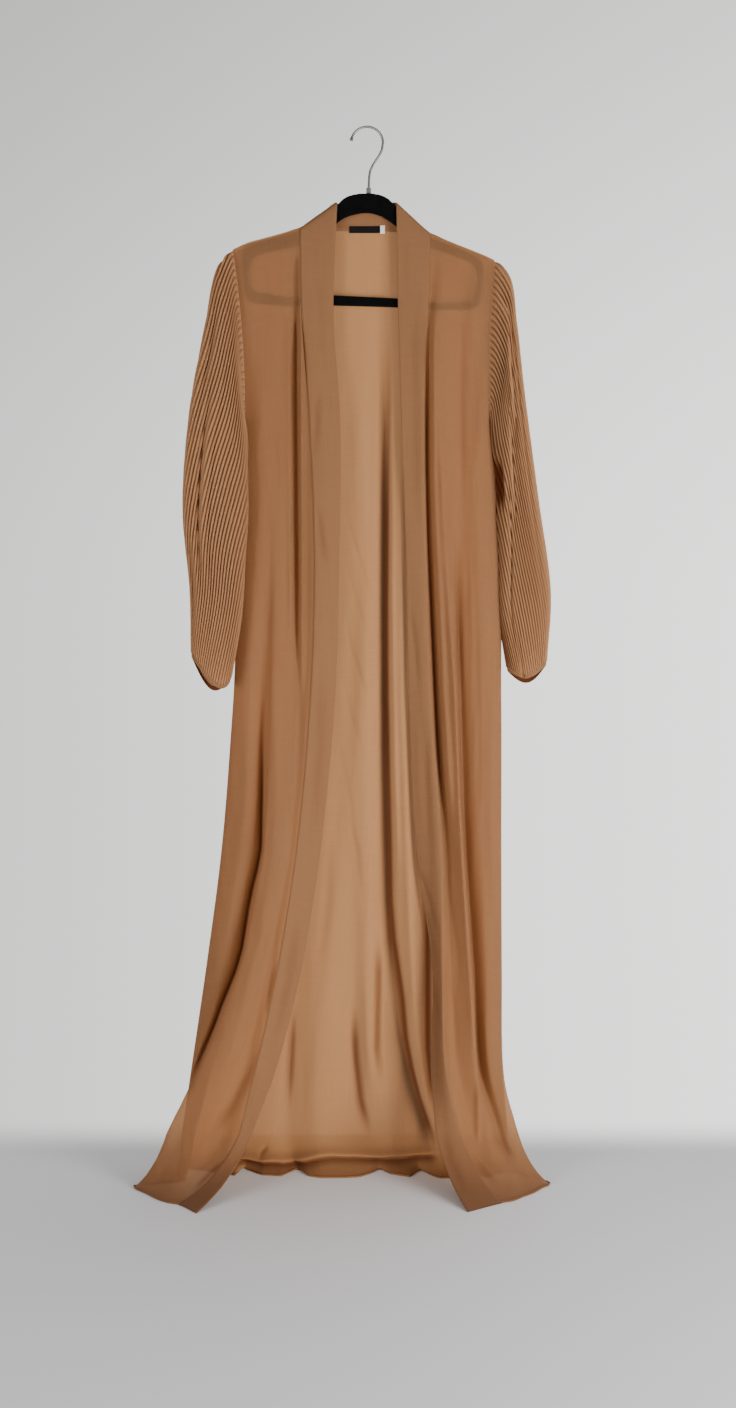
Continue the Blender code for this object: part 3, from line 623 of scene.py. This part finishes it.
def chiffon(name, colour, dark, through):
    """Sheer crepe chiffon: a fine plain weave with slubs, soft sheen and some light through it."""
    material, tree = new_material(name)
    place = cloth_place(tree)

    def streaks(x, y, seed):
        stretch = {"Vector": place, "Scale": (x, y, 1.0), "Location": (seed, seed * 1.7, 0.0)}
        inputs = {"Scale": 1.0, "Detail": 3.0, "Roughness": 0.6}
        return noise(tree, add_node(tree, "Mapping", stretch), inputs)

    warp = threads(tree, place, "X", WEAVE_PITCH, THREAD)
    weft = threads(tree, place, "Y", WEAVE_PITCH, THREAD)
    slubs = maths(tree, "ADD", streaks(900.0, 14.0, 1.3), streaks(14.0, 900.0, 4.1))
    streaked = maths(tree, "MULTIPLY_ADD", slubs, 0.9, -0.4)
    mottled = maths(tree, "MULTIPLY_ADD", streaks(9.0, 3.0, 7.7), MOTTLE, streaked)
    base = mixed(tree, mapped(tree, mottled, (0.2, 1.3)), (*dark, 1.0), (*colour, 1.0))
    # Painted shade: the fold attribute darkens the colour in deep creases, pleats, cuffs and near the
    # floor, and lets less light by there. Only in part does it stand for doubled cloth.
    fold = add_node(tree, "Attribute")
    fold.attribute_name = "fold"
    fold = fold.outputs["Fac"]
    deep = [part * share for part, share in zip(dark, FOLD_SHADE_COLOUR)]
    base = mixed(tree, fold, base, (*deep, 1.0))
    crepe = maths(tree, "MULTIPLY_ADD", maths(tree, "MULTIPLY", warp, weft), 0.6, slubs)
    normal = bump(tree, crepe, CREPE_BUMP, 0.0004)
    shader = add_node(tree, "BsdfPrincipled", {
        "Base Color": base, "Normal": normal, "Roughness": 0.78, "Specular IOR Level": 0.05,
        "Sheen Weight": 0.05, "Sheen Roughness": 0.55, "Sheen Tint": (1.0, 0.78, 0.60, 1.0)})
    glow = add_node(tree, "BsdfTranslucent", {"Color": base, "Normal": normal})
    clear = add_node(tree, "BsdfTransparent", {"Color": (0.90, 0.70, 0.50, 1.0)})
    by = maths(tree, "MULTIPLY_ADD", fold, -through, through)
    cloth = blend(tree, by, blend(tree, TRANSLUCENT, shader, glow), clear)
    return surfaced(material, cloth)


def flock(name):
    """Black velvet flocking: matt, with a soft rim of sheen and tiny uneven pile."""
    material, tree = new_material(name)
    place = add_node(tree, "TexCoord").outputs["Object"]
    pile = noise(tree, place, {"Scale": 1400.0, "Detail": 3.0})
    patches = noise(tree, place, {"Scale": 45.0})
    shader = add_node(tree, "BsdfPrincipled", {
        "Base Color": mixed(tree, patches, (0.0012, 0.0012, 0.0014, 1.0), (0.004, 0.004, 0.0045, 1.0)),
        "Normal": bump(tree, pile, 0.6, 0.0003), "Roughness": 0.95, "Specular IOR Level": 0.02,
        "Sheen Weight": 0.01, "Sheen Roughness": 0.4})
    return surfaced(material, shader)


def plated(name):
    """Bright plated wire with faint drawing marks."""
    material, tree = new_material(name)
    marks = noise(tree, add_node(tree, "TexCoord").outputs["Object"], {"Scale": 260.0, "Detail": 4.0})
    shader = add_node(tree, "BsdfPrincipled", {
        "Base Color": mixed(tree, marks, (0.17, 0.17, 0.175, 1.0), (0.25, 0.25, 0.26, 1.0)),
        "Metallic": 1.0, "Roughness": mapped(tree, marks, (0.0, 1.0), (0.38, 0.55))})
    return surfaced(material, shader)


def woven(name, colour, dark):
    """A tightly woven label tape, left bare."""
    material, tree = new_material(name)
    ribs = threads(tree, cloth_place(tree), "Y", LABEL_PITCH, {"Distortion": 0.8})
    shader = add_node(tree, "BsdfPrincipled", {
        "Base Color": mixed(tree, ribs, (*dark, 1.0), (*colour, 1.0)),
        "Normal": bump(tree, ribs, 0.4, 0.0002), "Roughness": 0.8, "Specular IOR Level": 0.08})
    return surfaced(material, shader)


CLOTH = chiffon("chiffon_cloth", (0.312, 0.157, 0.075), (0.240, 0.112, 0.052), 0.38)
# The back's inside is a lighter, nearly opaque copy of the same chiffon: painted light for the light it
# gets from the wall behind.
BACK_CLOTH_LIT = chiffon("back_cloth_lit", (0.352, 0.167, 0.068), (0.280, 0.125, 0.049), 0.03)
BAND_CLOTH = chiffon("band_cloth", (0.258, 0.127, 0.060), (0.200, 0.092, 0.042), 0.08)
PLEAT_CLOTH = chiffon("pleat_cloth", (0.385, 0.198, 0.096), (0.285, 0.138, 0.064), 0.05)
VELVET = flock("black_flock")
CHROME = plated("plated_wire")
LABEL = woven("black_label", (0.007, 0.007, 0.008), (0.002, 0.002, 0.0025))
TAB = woven("white_tab", (0.66, 0.65, 0.61), (0.45, 0.44, 0.41))


# Body panels.

left_front_edge, left_back_edge = side_lines(SIDE_LEFT, SLEEVE_LEFT[0])
right_front_edge, right_back_edge = side_lines(SIDE_RIGHT, SLEEVE_RIGHT[0])
back_lines = [fold_line(row, 0 if row[0] in NECK_LINES else -1) for row in BACK]
left_lines = [fold_line(row, 1) for row in FRONT_LEFT]
right_lines = [fold_line(row, 1) for row in FRONT_RIGHT]

back_grid = panel([left_back_edge, *back_lines, right_back_edge], BACK_COLUMNS,
                  below_armpit(left_lines[0]), below_armpit(right_lines[0]))
left_grid = panel([left_front_edge, *left_lines[:-1]], FRONT_COLUMNS,
                  below_armpit(back_lines[0]), left_lines[-1])
right_grid = panel([right_front_edge, *right_lines[:-1]], FRONT_COLUMNS,
                   below_armpit(back_lines[-1]), right_lines[-1])


def toward_viewer(grid):
    n = normals(grid)
    return n * np.sign(-n[..., 1:2] + 1e-9)


def held(shape, ends, seam, sides):
    """A share that keeps a grid's top and hem and its sewn sides where they are."""
    row, column = np.arange(shape[0])[:, None], np.arange(shape[1])[None]
    share = np.clip(row / ends[0], 0, 1) * np.clip((shape[0] - 1 - row) / ends[1], 0, 1)
    first = np.clip(column / seam, 0, 1) if sides[0] else 1.0
    last = np.clip((shape[1] - 1 - column) / seam, 0, 1) if sides[1] else 1.0
    return share * np.minimum(first, last)


def dress(grid, creases, seed, size, across=26, along=260, sides=(True, True), lies=FRONT_LIES):
    """Add soft ripples along the cloth's normals and creases toward the back."""
    px, py = to_photo(grid)
    ripple = waves(px, py, seed, across, along, size)
    fine_across, fine_along, fine_size = FINE_RIPPLE
    ripple += waves(px, py, seed + FINE_SEED, across * fine_across, along * fine_along, size * fine_size)
    ripple *= held(grid.shape, RIPPLE_ENDS, RIPPLE_SEAM, sides)
    back_by = sum(crease(px, py, row) for row in creases)
    back_by *= held(grid.shape, CREASE_ENDS, CREASE_SEAM, sides)
    out = grid + toward_viewer(grid) * ripple[..., None]
    out[..., 1] += back_by
    # Near the floor the cloth lies in two layers, and painted shade darkens it there; deep creases get
    # painted shade by how far back they go.
    doubled_hem_shade = np.clip((py - lies[0]) / (lies[1] - lies[0]), 0.0, 1.0) * HEM_SHADE
    return out, np.clip(np.maximum(back_by / FOLD_DEPTH, 0.0) + doubled_hem_shade, 0.0, FOLD_SHADE_MAX)


def wavy_hem(grid):
    """The back's hem lies on the floor in small waves, by its line in the photo's pixels."""
    px, _ = to_photo(grid[-1])
    hem_px, hem_py = np.array(BACK_HEM, float).T
    inside = np.clip((px - hem_px[0]) / HEM_BLEND, 0, 1) * np.clip((hem_px[-1] - px) / HEM_BLEND, 0, 1)
    down = (np.interp(px, hem_px, hem_py) - PIXEL_DOWN) * PIXEL
    drop = FLOOR_DROP - HEM_LIFT
    scale = (drop - EYE_DROP) / (down - EYE_DROP)
    shift = np.stack([(px - PIXEL_ACROSS) * PIXEL * scale - grid[-1, :, 0],
                      -EYE_DISTANCE * (1.0 - scale) - grid[-1, :, 1]], axis=-1) * inside[:, None]
    rows = grid.shape[0]
    share = np.clip((np.arange(rows) - rows + HEM_ROWS + 1) / HEM_ROWS, 0, 1) ** HEM_EASE
    out = grid.copy()
    out[..., :2] += share[:, None, None] * shift[None]
    return out


def rolled_hem(grid, fold):
    """The hem's narrow roll, turned under along a panel's last row, and its painted shade."""
    n = toward_viewer(grid)[-1]
    along = unit(grid[-1] - grid[-2])
    middle = grid[-1] - n * HEM_ROLL - along * HEM_ROLL
    middle[:, 2] = np.maximum(middle[:, 2], -FLOOR_DROP + HEM_ROLL)
    turns = [middle + n * HEM_ROLL * math.cos(a) + along * HEM_ROLL * math.sin(a)
             for a in np.radians(HEM_TURNS)]
    out = np.concatenate([grid[:-1], np.stack(turns)])
    out[..., 2] = np.maximum(out[..., 2], -FLOOR_DROP)
    return out, np.concatenate([fold, np.repeat(fold[-1:], len(turns) - 1, axis=0)])


def before_hanger(grid):
    """Keep a front before the hanger's arms and bar."""
    low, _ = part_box("hanger_body")
    near = np.clip((grid[..., 2] - low[2] / MM + HANGER_REACH) / HANGER_EASE, 0.0, 1.0)
    limit = np.minimum(grid[..., 1], low[1] / MM - HANGER_ROOM)
    out = grid.copy()
    out[..., 1] += (limit - grid[..., 1]) * near
    return out


# Creases and the back's hem, by their lines in the photo's pixels.

VALLEY_LEFT = ((265, 680), (262, 740), (261, 800), (260, 850), (256, 870), (251, 890), (247, 910),
               (241, 950), (235, 970), (229, 985), (221, 1005), (214, 1025), (204, 1050),
               (196, 1070), (188, 1090), (182, 1102))
VALLEY_RIGHT = ((427, 300), (427, 480), (428.5, 540), (432, 620), (435.5, 700), (437.5, 740),
                (440, 780), (442.5, 820), (445, 860))
VALLEY_RIDGE_RIGHT = ((432.5, 300), (432.5, 400), (433, 480), (435.5, 540), (439.5, 620),
                      (443.5, 700), (446, 740), (448.5, 780), (451, 820), (454, 860))
RIDGE_RIGHT = ((435, 300), (440, 440), (445, 560), (450, 620), (456, 700), (460, 780), (463, 850),
               (468, 920), (472, 980), (474, 1010), (477, 1060), (478, 1085))
SECOND_VALLEY_RIGHT = ((456, 520), (457, 620), (459, 700), (462, 800), (468, 900), (475, 1000),
                       (479, 1060), (481, 1085), (485, 1105), (494, 1125), (505, 1140))
DARK_VALLEY = ((389, 320), (388, 420), (387, 600), (387, 700), (389, 800), (391, 900), (394, 940),
               (397, 960), (403, 1000), (407, 1040), (412, 1070), (420, 1100), (428, 1125),
               (435, 1148))
TAN_STRIPE = ((399, 420), (401, 600), (402, 700), (406, 800), (409, 900), (411, 950), (414, 1000),
              (418, 1040), (423, 1070), (429, 1100), (436, 1130))

BACK_HEM = ((226, 1175), (235, 1176), (243, 1168), (262, 1175), (282, 1176), (298, 1169), (308, 1176),
            (320, 1178), (345, 1178), (360, 1177), (372, 1173), (380, 1169), (390, 1174), (410, 1177),
            (420, 1170), (430, 1175), (445, 1180))
HEM_STEP = ((232, 1158), (262, 1163), (300, 1161), (330, 1156), (380, 1158), (440, 1154))

LEFT_CREASES = (
    (VALLEY_LEFT, (2.6, 2.2), 12, 0.3, 0.12),
    (((276, 660), (276, 720), (275, 820), (270, 900)), 6, -2.5, 0.4, 0.3),
    (((295.5, 250), (296.5, 540), (297, 620), (297, 690)), 1.9, 6, 0.04, 0.3),
    (((290.5, 300), (291, 540), (291, 680)), 3.0, -4, 0.15, 0.3),
    (((301, 290), (301.5, 440), (302, 600), (301.5, 720)), 3.1, -13, 0.2, 0.25),
    (((275, 955), (271, 985), (264, 1020)), 3.4, 5),
    (((262, 1030), (250, 1070), (233, 1105), (198, 1150)), 5, 5),
    (((228, 1155), (205, 1178), (188, 1196)), 3.4, 4),
    (((240, 700), (238, 800), (228, 900)), 9, 2.5),
    (((284, 300), (286, 480)), 7, 1.5),
    (((272, 860), (262, 940), (238, 1030), (215, 1090)), 6, -3, 0.3),
)
RIGHT_CREASES = (
    (VALLEY_RIGHT, (2.4, 2.0), 13, 0.25, 0.2),
    (VALLEY_RIDGE_RIGHT, 4.2, -14, 0.12, 0.2),
    (RIDGE_RIGHT, 5.5, -4, 0.05, 0.1),
    (SECOND_VALLEY_RIGHT, (2.4, 4.4), 9, 0.2, 0.2),
    (((478, 1075), (478, 1110), (478, 1152)), 3, -4, 0.3, 0.3),
    (((465, 1130), (480, 1160), (505, 1180)), 3, -3.5, 0.3, 0.3),
    (((470, 1140), (484, 1172), (500, 1188)), 4, 3.5),
    (((490, 1130), (515, 1160)), 4, 3),
    (((478, 320), (476, 380), (473, 470)), 5, 2.5),
    (((486, 640), (484, 800), (487, 950)), 6, 2.0),
    (((446, 930), (446, 1100), (452, 1190)), 4, 3, 0.2, 0.3),
    (((462, 300), (461, 420), (464, 540)), 3, 1.6),
    (((470, 520), (472, 640), (470, 760)), 2.4, -1.2),
    (((476, 600), (479, 720), (478, 840)), 2.6, 1.4),
    (((493, 700), (493, 860), (495, 1000)), 3.4, -1.8),
    (((447, 880), (455, 930), (461, 990)), 2.6, 1.6),
    (((448, 960), (454, 1010), (456, 1070)), 2.6, 1.4),
)
BACK_CREASES = (
    (DARK_VALLEY, (7.0, 2.4), 12, 0.25, 0.03),
    (((379, 330), (378, 620), (379, 900)), 3.4, -3, 0.3, 0.3),
    (((392.5, 400), (392.5, 600), (393.5, 700), (396, 800), (399, 900)), 3.0, -4.5, 0.2, 0.2),
    (TAN_STRIPE, 6, -6, 0.15, 0.1),
    (((428, 880), (428, 1050), (434, 1110)), 3.6, 12, 0.15, 0.15),
    (((293, 1000), (290, 1060), (287, 1115)), 3.2, 6),
    (((353, 1000), (356, 1060), (360, 1100), (370, 1140)), 3.6, 9, 0.35, 0.25),
    (((379, 930), (377, 1050), (382, 1090)), 3.0, 8, 0.3, 0.3),
    (((366, 960), (367, 1040), (372, 1100)), 5, -4),
    (((257, 1160), (262, 1152), (269, 1144)), 2.6, 4),
    (HEM_STEP, 5, 9, 0.05, 0.05, "step"),
    (((370, 480), (356, 640), (352, 800)), 7, 1.6),
    (((345, 560), (340, 760)), 6, -1.2),
    (((343, 500), (356, 548), (376, 612)), 2.2, 0.8, 0.3, 0.3),
    (((341, 545), (355, 596), (374, 655)), 2.0, 0.6, 0.3),
    (((342, 600), (352, 650), (372, 712)), 2.4, 0.9, 0.4, 0.3),
    (((338, 660), (350, 712), (368, 770)), 2.0, 0.6, 0.3),
    (((337, 730), (345, 775), (356, 835)), 2.2, 0.7),
    (((347, 806), (357, 850), (362, 905)), 3.0, 1.3),
    (((330, 820), (328, 900), (318, 985)), 4.0, 1.8),
    (((404, 540), (407, 640), (404, 730)), 2.6, 1.2),
)

BAND_CREASES = {
    "left": (
        (((320, 380), (316, 430), (312, 470)), 3, 3),
        (((317, 500), (321, 535), (326, 570)), 3, 3),
        (((322, 640), (320, 760), (312, 860)), 6, 2.2),
        (((328, 240), (326, 300), (330, 400)), 4, -1.6),
        (((300, 900), (290, 980), (270, 1060)), 5, 2.4),
        (((262, 1060), (245, 1110), (215, 1170)), 4, 2.4),
    ),
    "right": (
        (((414, 260), (415, 420), (417, 560)), 5, 1.8),
        (((424, 700), (428, 820), (431, 900)), 4, 2.2),
        (((437, 960), (437, 1040), (438, 1100)), 3, 2.4),
        (((419, 868), (430, 902), (441, 946)), 2.2, 2.0, 0.2),
        (((426, 905), (433, 940), (441, 985)), 2.0, 1.6, 0.2),
        (((432, 965), (437, 1000), (442, 1040)), 2.0, 1.5, 0.3),
        (((409, 600), (416, 650), (419, 700)), 2.4, 1.5, 0.3),
        (((442, 1120), (450, 1160), (470, 1200)), 4, 2.4),
    ),
}

back_grid, back_shade = dress(back_grid, BACK_CREASES, seed=3, size=0.6, lies=BACK_LIES)
left_grid, left_shade = dress(left_grid, LEFT_CREASES, seed=5, size=0.55)
right_grid, right_shade = dress(right_grid, RIGHT_CREASES, seed=8, size=0.55)
back_grid, back_shade = rolled_hem(wavy_hem(back_grid), back_shade)
left_grid, left_shade = rolled_hem(before_hanger(left_grid), left_shade)
right_grid, right_shade = rolled_hem(before_hanger(right_grid), right_shade)

back = add_piece("back_cloth", back_grid, BACK_CLOTH_LIT, "back_panel", "chiffon", back_shade)
front_left = add_piece("front_left_cloth", left_grid, CLOTH, "front_left", "chiffon", left_shade)
front_right = add_piece("front_right_cloth", right_grid, CLOTH, "front_right", "chiffon", right_shade)


# Band: doubled cloth, closed round its two layers.

def band_grid(lines, neck_seam):
    """The band's mid surface from the centre back over the shoulder and down the front."""
    front = panel(lines[-2:], BAND_COLUMNS, lines[-3])
    offset = neck_seam[:, 0] - NECK_CENTRE
    free = np.stack([NECK_CENTRE + offset * NECK_EDGE_DRAW, neck_seam[:, 1],
                     -NECK_EDGE_DROP - NECK_EDGE_FALL * (offset / NECK_HALF_WIDTH) ** 2], axis=-1)
    share = np.arange(BAND_COLUMNS + 1) / BAND_COLUMNS
    behind = neck_seam[:, None] + (free - neck_seam)[:, None] * share[None, :, None]
    return np.concatenate([behind[::-1], front])


def doubled(middle):
    """A closed ring round a band's middle: front layer, rounded free edge and back layer."""
    n = toward_viewer(middle)
    edge = unit(middle[:, -1] - middle[:, -2])
    front = middle + n * BAND_HALF
    behind = middle - n * BAND_HALF
    turn = np.pi * (np.arange(1, BAND_ROUND) / BAND_ROUND)
    bend = [middle[:, -1] + n[:, -1] * BAND_HALF * math.cos(a) + edge * BAND_HALF * math.sin(a)
            for a in turn]
    return np.concatenate([front, np.stack(bend, axis=1), behind[:, ::-1]], axis=1)


def back_column(name):
    """The back grid's column on a fold line."""
    return (1 + [row[0] for row in BACK].index(name)) * BACK_COLUMNS


first, centre, last = (back_column(name) for name in ("neck left", "centre back", "neck right"))
neck_left = back_grid[0, first + 1:centre + 1]
neck_right = back_grid[0, last - 1:centre - 1:-1]
band_rows = (("left", left_lines, neck_left, 12), ("right", right_lines, neck_right, 17))
for side, lines, neck, seed in band_rows:
    middle, painted_shade = dress(band_grid(lines, neck), BAND_CREASES[side], seed=seed, size=0.35,
                         across=20, along=200, sides=(True, False))
    painted_shade = np.concatenate([painted_shade, np.repeat(painted_shade[:, -1:], BAND_ROUND - 1, axis=1), painted_shade[:, ::-1]], axis=1)
    add_piece(f"band_{side}_cloth", doubled(middle), BAND_CLOTH, f"band_{side}",
                            "band_chiffon", painted_shade, closed=True, flip=side == "right")


# Sleeves: pleats all round.

def sleeve_outline(row, side):
    """A section's closed outline, from its inner edge over the front and back behind."""
    turn = 0.5 - 0.5 * np.cos(np.pi * np.arange(OUTLINE_STEPS) / OUTLINE_STEPS)
    front = section_points(row, turn, 1, side)
    behind = section_points(row, 1.0 - turn, -1)
    across, back = SLEEVE_TUCK[side].get(row[0], (0, 0))
    for points, share in ((front, (1.0 - turn) ** TUCK_FADE_FRONT), (behind, turn ** TUCK_FADE_BEHIND)):
        points[:, 0] += across * share
        points[:, 1] += back * share
    return np.concatenate([front, behind])


def resample(outline, count):
    """Points at even lengths round a closed outline."""
    ring = np.concatenate([outline, outline[:1]])
    lengths = np.concatenate([[0.0], np.cumsum(np.linalg.norm(np.diff(ring, axis=0), axis=1))])
    target = np.arange(count) / count * lengths[-1]
    return np.stack([np.interp(target, lengths, ring[:, k]) for k in range(3)], axis=-1)


def smooth_between(values):
    """Values at a sleeve's sections carried smoothly to the rows between them."""
    values = np.asarray(values, float)
    knots = np.stack([np.arange(len(values)) * KNOT_SPACING, values, np.zeros(len(values))], axis=-1)
    return spline(knots[None], SLEEVE_STEPS)[0][:, 1]


def from_sections(table, name):
    """A named column of a sleeve's table, at every row of its grid."""
    return smooth_between([row[SLEEVE_COLUMNS.index(name)] for row in table])


def armpit_hollow(base, outside):
    """Shares of the dark hollow at the right armpit and of the rim beside it."""
    px, py = to_photo(base)
    px = px - HOLLOW_MIDDLE[0] - HOLLOW_LEAN * (py - HOLLOW_MIDDLE[1])
    tall = ((py - HOLLOW_MIDDLE[1]) / HOLLOW_HALF[1]) ** 4
    hollow = np.exp(-(px / HOLLOW_HALF[0]) ** 4 - tall) * outside
    rim = np.exp(-((px - HOLLOW_HALF[0] * HOLLOW_RIM_AT) / HOLLOW_RIM_WIDTH) ** 2 - tall) * outside
    return hollow, rim


def sleeve_grid(table, side, edges):
    """A sleeve's pleated grid and the painted shade at each of its points."""
    count = PLEATS * PLEAT_COLUMNS
    rings = [resample(sleeve_outline(row, side), count) for row in table]
    for index in range(count):
        upper = edges[0 if index < count / 2 else 1][:ROWS_TO_ARMPIT + 1]
        rings[0][index, 0] = np.interp(rings[0][index, 2], upper[::-1, 2], upper[::-1, 0])
    shape = spline(np.stack(rings, axis=1), SLEEVE_STEPS).transpose(1, 0, 2)
    # The pleats wind round the sleeve: each row starts a little further round it.
    turn = from_sections(table, "turn") * PLEAT_COLUMNS
    target = np.arange(count)[None] + turn[:, None]
    lower = np.floor(target).astype(int)
    part = (target - lower)[..., None]
    rows = np.arange(len(turn))[:, None]
    base = shape[rows, lower % count] * (1.0 - part) + shape[rows, (lower + 1) % count] * part
    height = from_sections(table, "pleat")[:, None]
    n = normals(base, closed=True)
    middle = base.mean(axis=1, keepdims=True)
    outward = np.sign(((base - middle) * n).sum(axis=-1).mean())
    pleat = np.resize(PLEAT_PROFILE, count)
    # Painted shade darkens the inside of each pleat and the edge tucked under the body.
    around = (target / count) % 1.0
    tucked = np.minimum(around, 1.0 - around) * 2.0
    wide = smooth_between(TUCK_WIDTHS[side])[:, None]
    painted_shade = np.clip(-pleat * PLEAT_SHADE, 0, 1)[None] + TUCK_SHADE[side] * np.exp(-(tucked / wide) ** 2)
    painted_shade = painted_shade * np.clip(height, 0, 1)
    rise = pleat[None] * height * PLEAT_GAIN
    if side == "right":
        hollow, rim = armpit_hollow(base, n[..., 1] * outward < 0)
        rise = rise - HOLLOW_DEPTH * hollow + HOLLOW_RIM * rim
        painted_shade = painted_shade + HOLLOW_SHADE * hollow
    return base + n * outward * rise[..., None], np.clip(painted_shade, 0.0, 1.0)


def cuff_grid(table, side):
    """A cuff's outer wall and its inner one, with painted shade on the inner wall."""
    ring = resample(sleeve_outline(table[-1], side), OUTLINE_STEPS)
    middle = ring.mean(axis=0)
    down = unit(middle - sleeve_outline(table[-2], side).mean(axis=0))
    share = np.linspace(0.0, 1.0, CUFF_ROWS)[:, None, None]
    outer = middle + (ring - middle) * (1.0 + (CUFF_TAPER - 1.0) * share) + down * CUFF_DEPTH * share
    inner = outer[::-1] + (middle - outer[::-1]) * CUFF_WALL
    painted_shade = np.repeat([0.0, CUFF_INSIDE_SHADE], CUFF_ROWS)[:, None] * np.ones((1, OUTLINE_STEPS))
    return np.concatenate([outer, inner]), painted_shade


sleeves, cuffs = {}, {}
for side, table, seam in (("left", SLEEVE_LEFT, SIDE_LEFT), ("right", SLEEVE_RIGHT, SIDE_RIGHT)):
    around = {"closed": True, "flip": side == "right"}
    grid, painted_shade = sleeve_grid(table, side, side_lines(seam, table[0]))
    sleeves[side] = add_piece(f"sleeve_{side}_cloth", grid, PLEAT_CLOTH, f"sleeve_{side}", "chiffon",
                              painted_shade, **around)
    grid, painted_shade = cuff_grid(table, side)
    cuffs[side] = add_piece(f"cuff_{side}_cloth", grid, BAND_CLOTH, f"cuff_{side}", "band_chiffon",
                            painted_shade, **around)


# Labels, bare.

def tape(name, span, rise, material, node, slot):
    """A folded tape inside the back neck, by its span across and its rise over the seam."""
    seam_drop, seam_depth = next(row[1][1:] for row in BACK if row[0] == "centre back")
    across, height = np.meshgrid(np.linspace(*span, TAPE_COLUMNS), np.linspace(*rise[::-1], TAPE_ROWS))
    depth = seam_depth + TAPE_STAND_OFF + TAPE_WAVE * np.sin(across / TAPE_WAVE_LENGTH)
    front = seen(across, seam_drop - height, depth)
    grid = np.concatenate([front, front[::-1] + np.array([0.0, TAPE_THICKNESS, 0.0])])
    return add_piece(name, grid, material, node, slot)


label = tape("neck_label_tape", LABEL_SPAN, LABEL_RISE, LABEL, "neck_label", "black_woven")
tab = tape("size_tab_tape", TAB_SPAN, TAB_RISE, TAB, "size_tab", "white_woven")

# Hanger: the solids' own shapes.
for node, material in (("hanger_body", VELVET), ("hanger_hook", CHROME)):
    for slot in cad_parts[node].material_slots:
        slot.material = material


# Stage: floor, light and camera.

FLOOR_HALF_WIDTH = 4.0
FLOOR_FRONT = -3.0
# The floor fades into the wall between these depths.
FLOOR_FADE = (0.03, 0.24)
FLOOR_COLOUR = (0.71, 0.72, 0.745, 1.0)
WALL_COLOUR = (1.0, 0.99, 0.975, 1.0)
SENSOR = 36.0


def floor_paint():
    """Pale floor paint that fades out toward the wall."""
    material, tree = new_material("floor_paint")
    place = add_node(tree, "SeparateXYZ", {"Vector": add_node(tree, "TexCoord").outputs["Object"]})
    shader = add_node(tree, "BsdfPrincipled", {"Base Color": FLOOR_COLOUR, "Roughness": 0.7})
    fade = mapped(tree, place.outputs["Y"], FLOOR_FADE, level=True)
    paint = blend(tree, fade, shader, add_node(tree, "BsdfTransparent"))
    return surfaced(material, paint)


floor_mesh = bpy.data.meshes.new("floor")
corners = ((-FLOOR_HALF_WIDTH, FLOOR_FRONT), (FLOOR_HALF_WIDTH, FLOOR_FRONT),
           (FLOOR_HALF_WIDTH, FLOOR_FADE[1]), (-FLOOR_HALF_WIDTH, FLOOR_FADE[1]))
floor_mesh.from_pydata([(x, y, -FLOOR_DROP * MM) for x, y in corners], [], [(0, 1, 2, 3)])
floor_mesh.materials.append(floor_paint())
floor = add_object("floor", floor_mesh)

# The room: a pale wall behind the cloak, brighter toward the window, and a dimmer side before it.
world = bpy.data.worlds.new("room")
bpy.context.scene.world = world
world.use_nodes = True
tree = world.node_tree
toward = add_node(tree, "SeparateXYZ", {"Vector": add_node(tree, "TexCoord").outputs["Generated"]}).outputs
depth_share = mapped(tree, toward["Y"], (-0.5, 0.75), (0.40, 1.27), level=True)
window_share = mapped(tree, toward["X"], (-0.4, 0.4), (0.68, 1.75))
height_share = mapped(tree, toward["Z"], (0.05, 0.6), (1.0, 0.50), level=True)
room_light = maths(tree, "MULTIPLY", maths(tree, "MULTIPLY", depth_share, window_share), height_share)
fill(tree, tree.nodes["Background"], {"Color": WALL_COLOUR, "Strength": room_light})


def area_light(name, place, target, size, energy, colour):
    data = bpy.data.lights.new(name, "AREA")
    data.shape = "RECTANGLE"
    data.size, data.size_y = size
    data.energy = energy
    data.color = colour
    obj = add_object(name, data)
    obj.location = place
    obj.rotation_euler = (Vector(target) - Vector(place)).to_track_quat("-Z", "Y").to_euler()


area_light("window", (1.7, -1.7, -1.25), (0.0, 0.0, -1.25), (1.1, 0.9), 105.0, (1.0, 0.985, 0.96))
area_light("bounce", (-2.6, -2.6, -1.0), (0.0, 0.0, -1.35), (1.6, 1.2), 108.0, (1.0, 0.99, 0.97))

camera_data = bpy.data.cameras.new("camera")
camera_data.sensor_width = SENSOR
camera_data.lens = EYE_DISTANCE / PIXEL / PHOTO_HEIGHT * SENSOR
camera_data.clip_start = 0.05
camera = add_object("camera", camera_data)
camera.location = (0.0, -EYE_DISTANCE * MM, -EYE_DROP * MM)
camera.rotation_euler = (math.radians(90.0), 0.0, 0.0)
bpy.context.scene.camera = camera
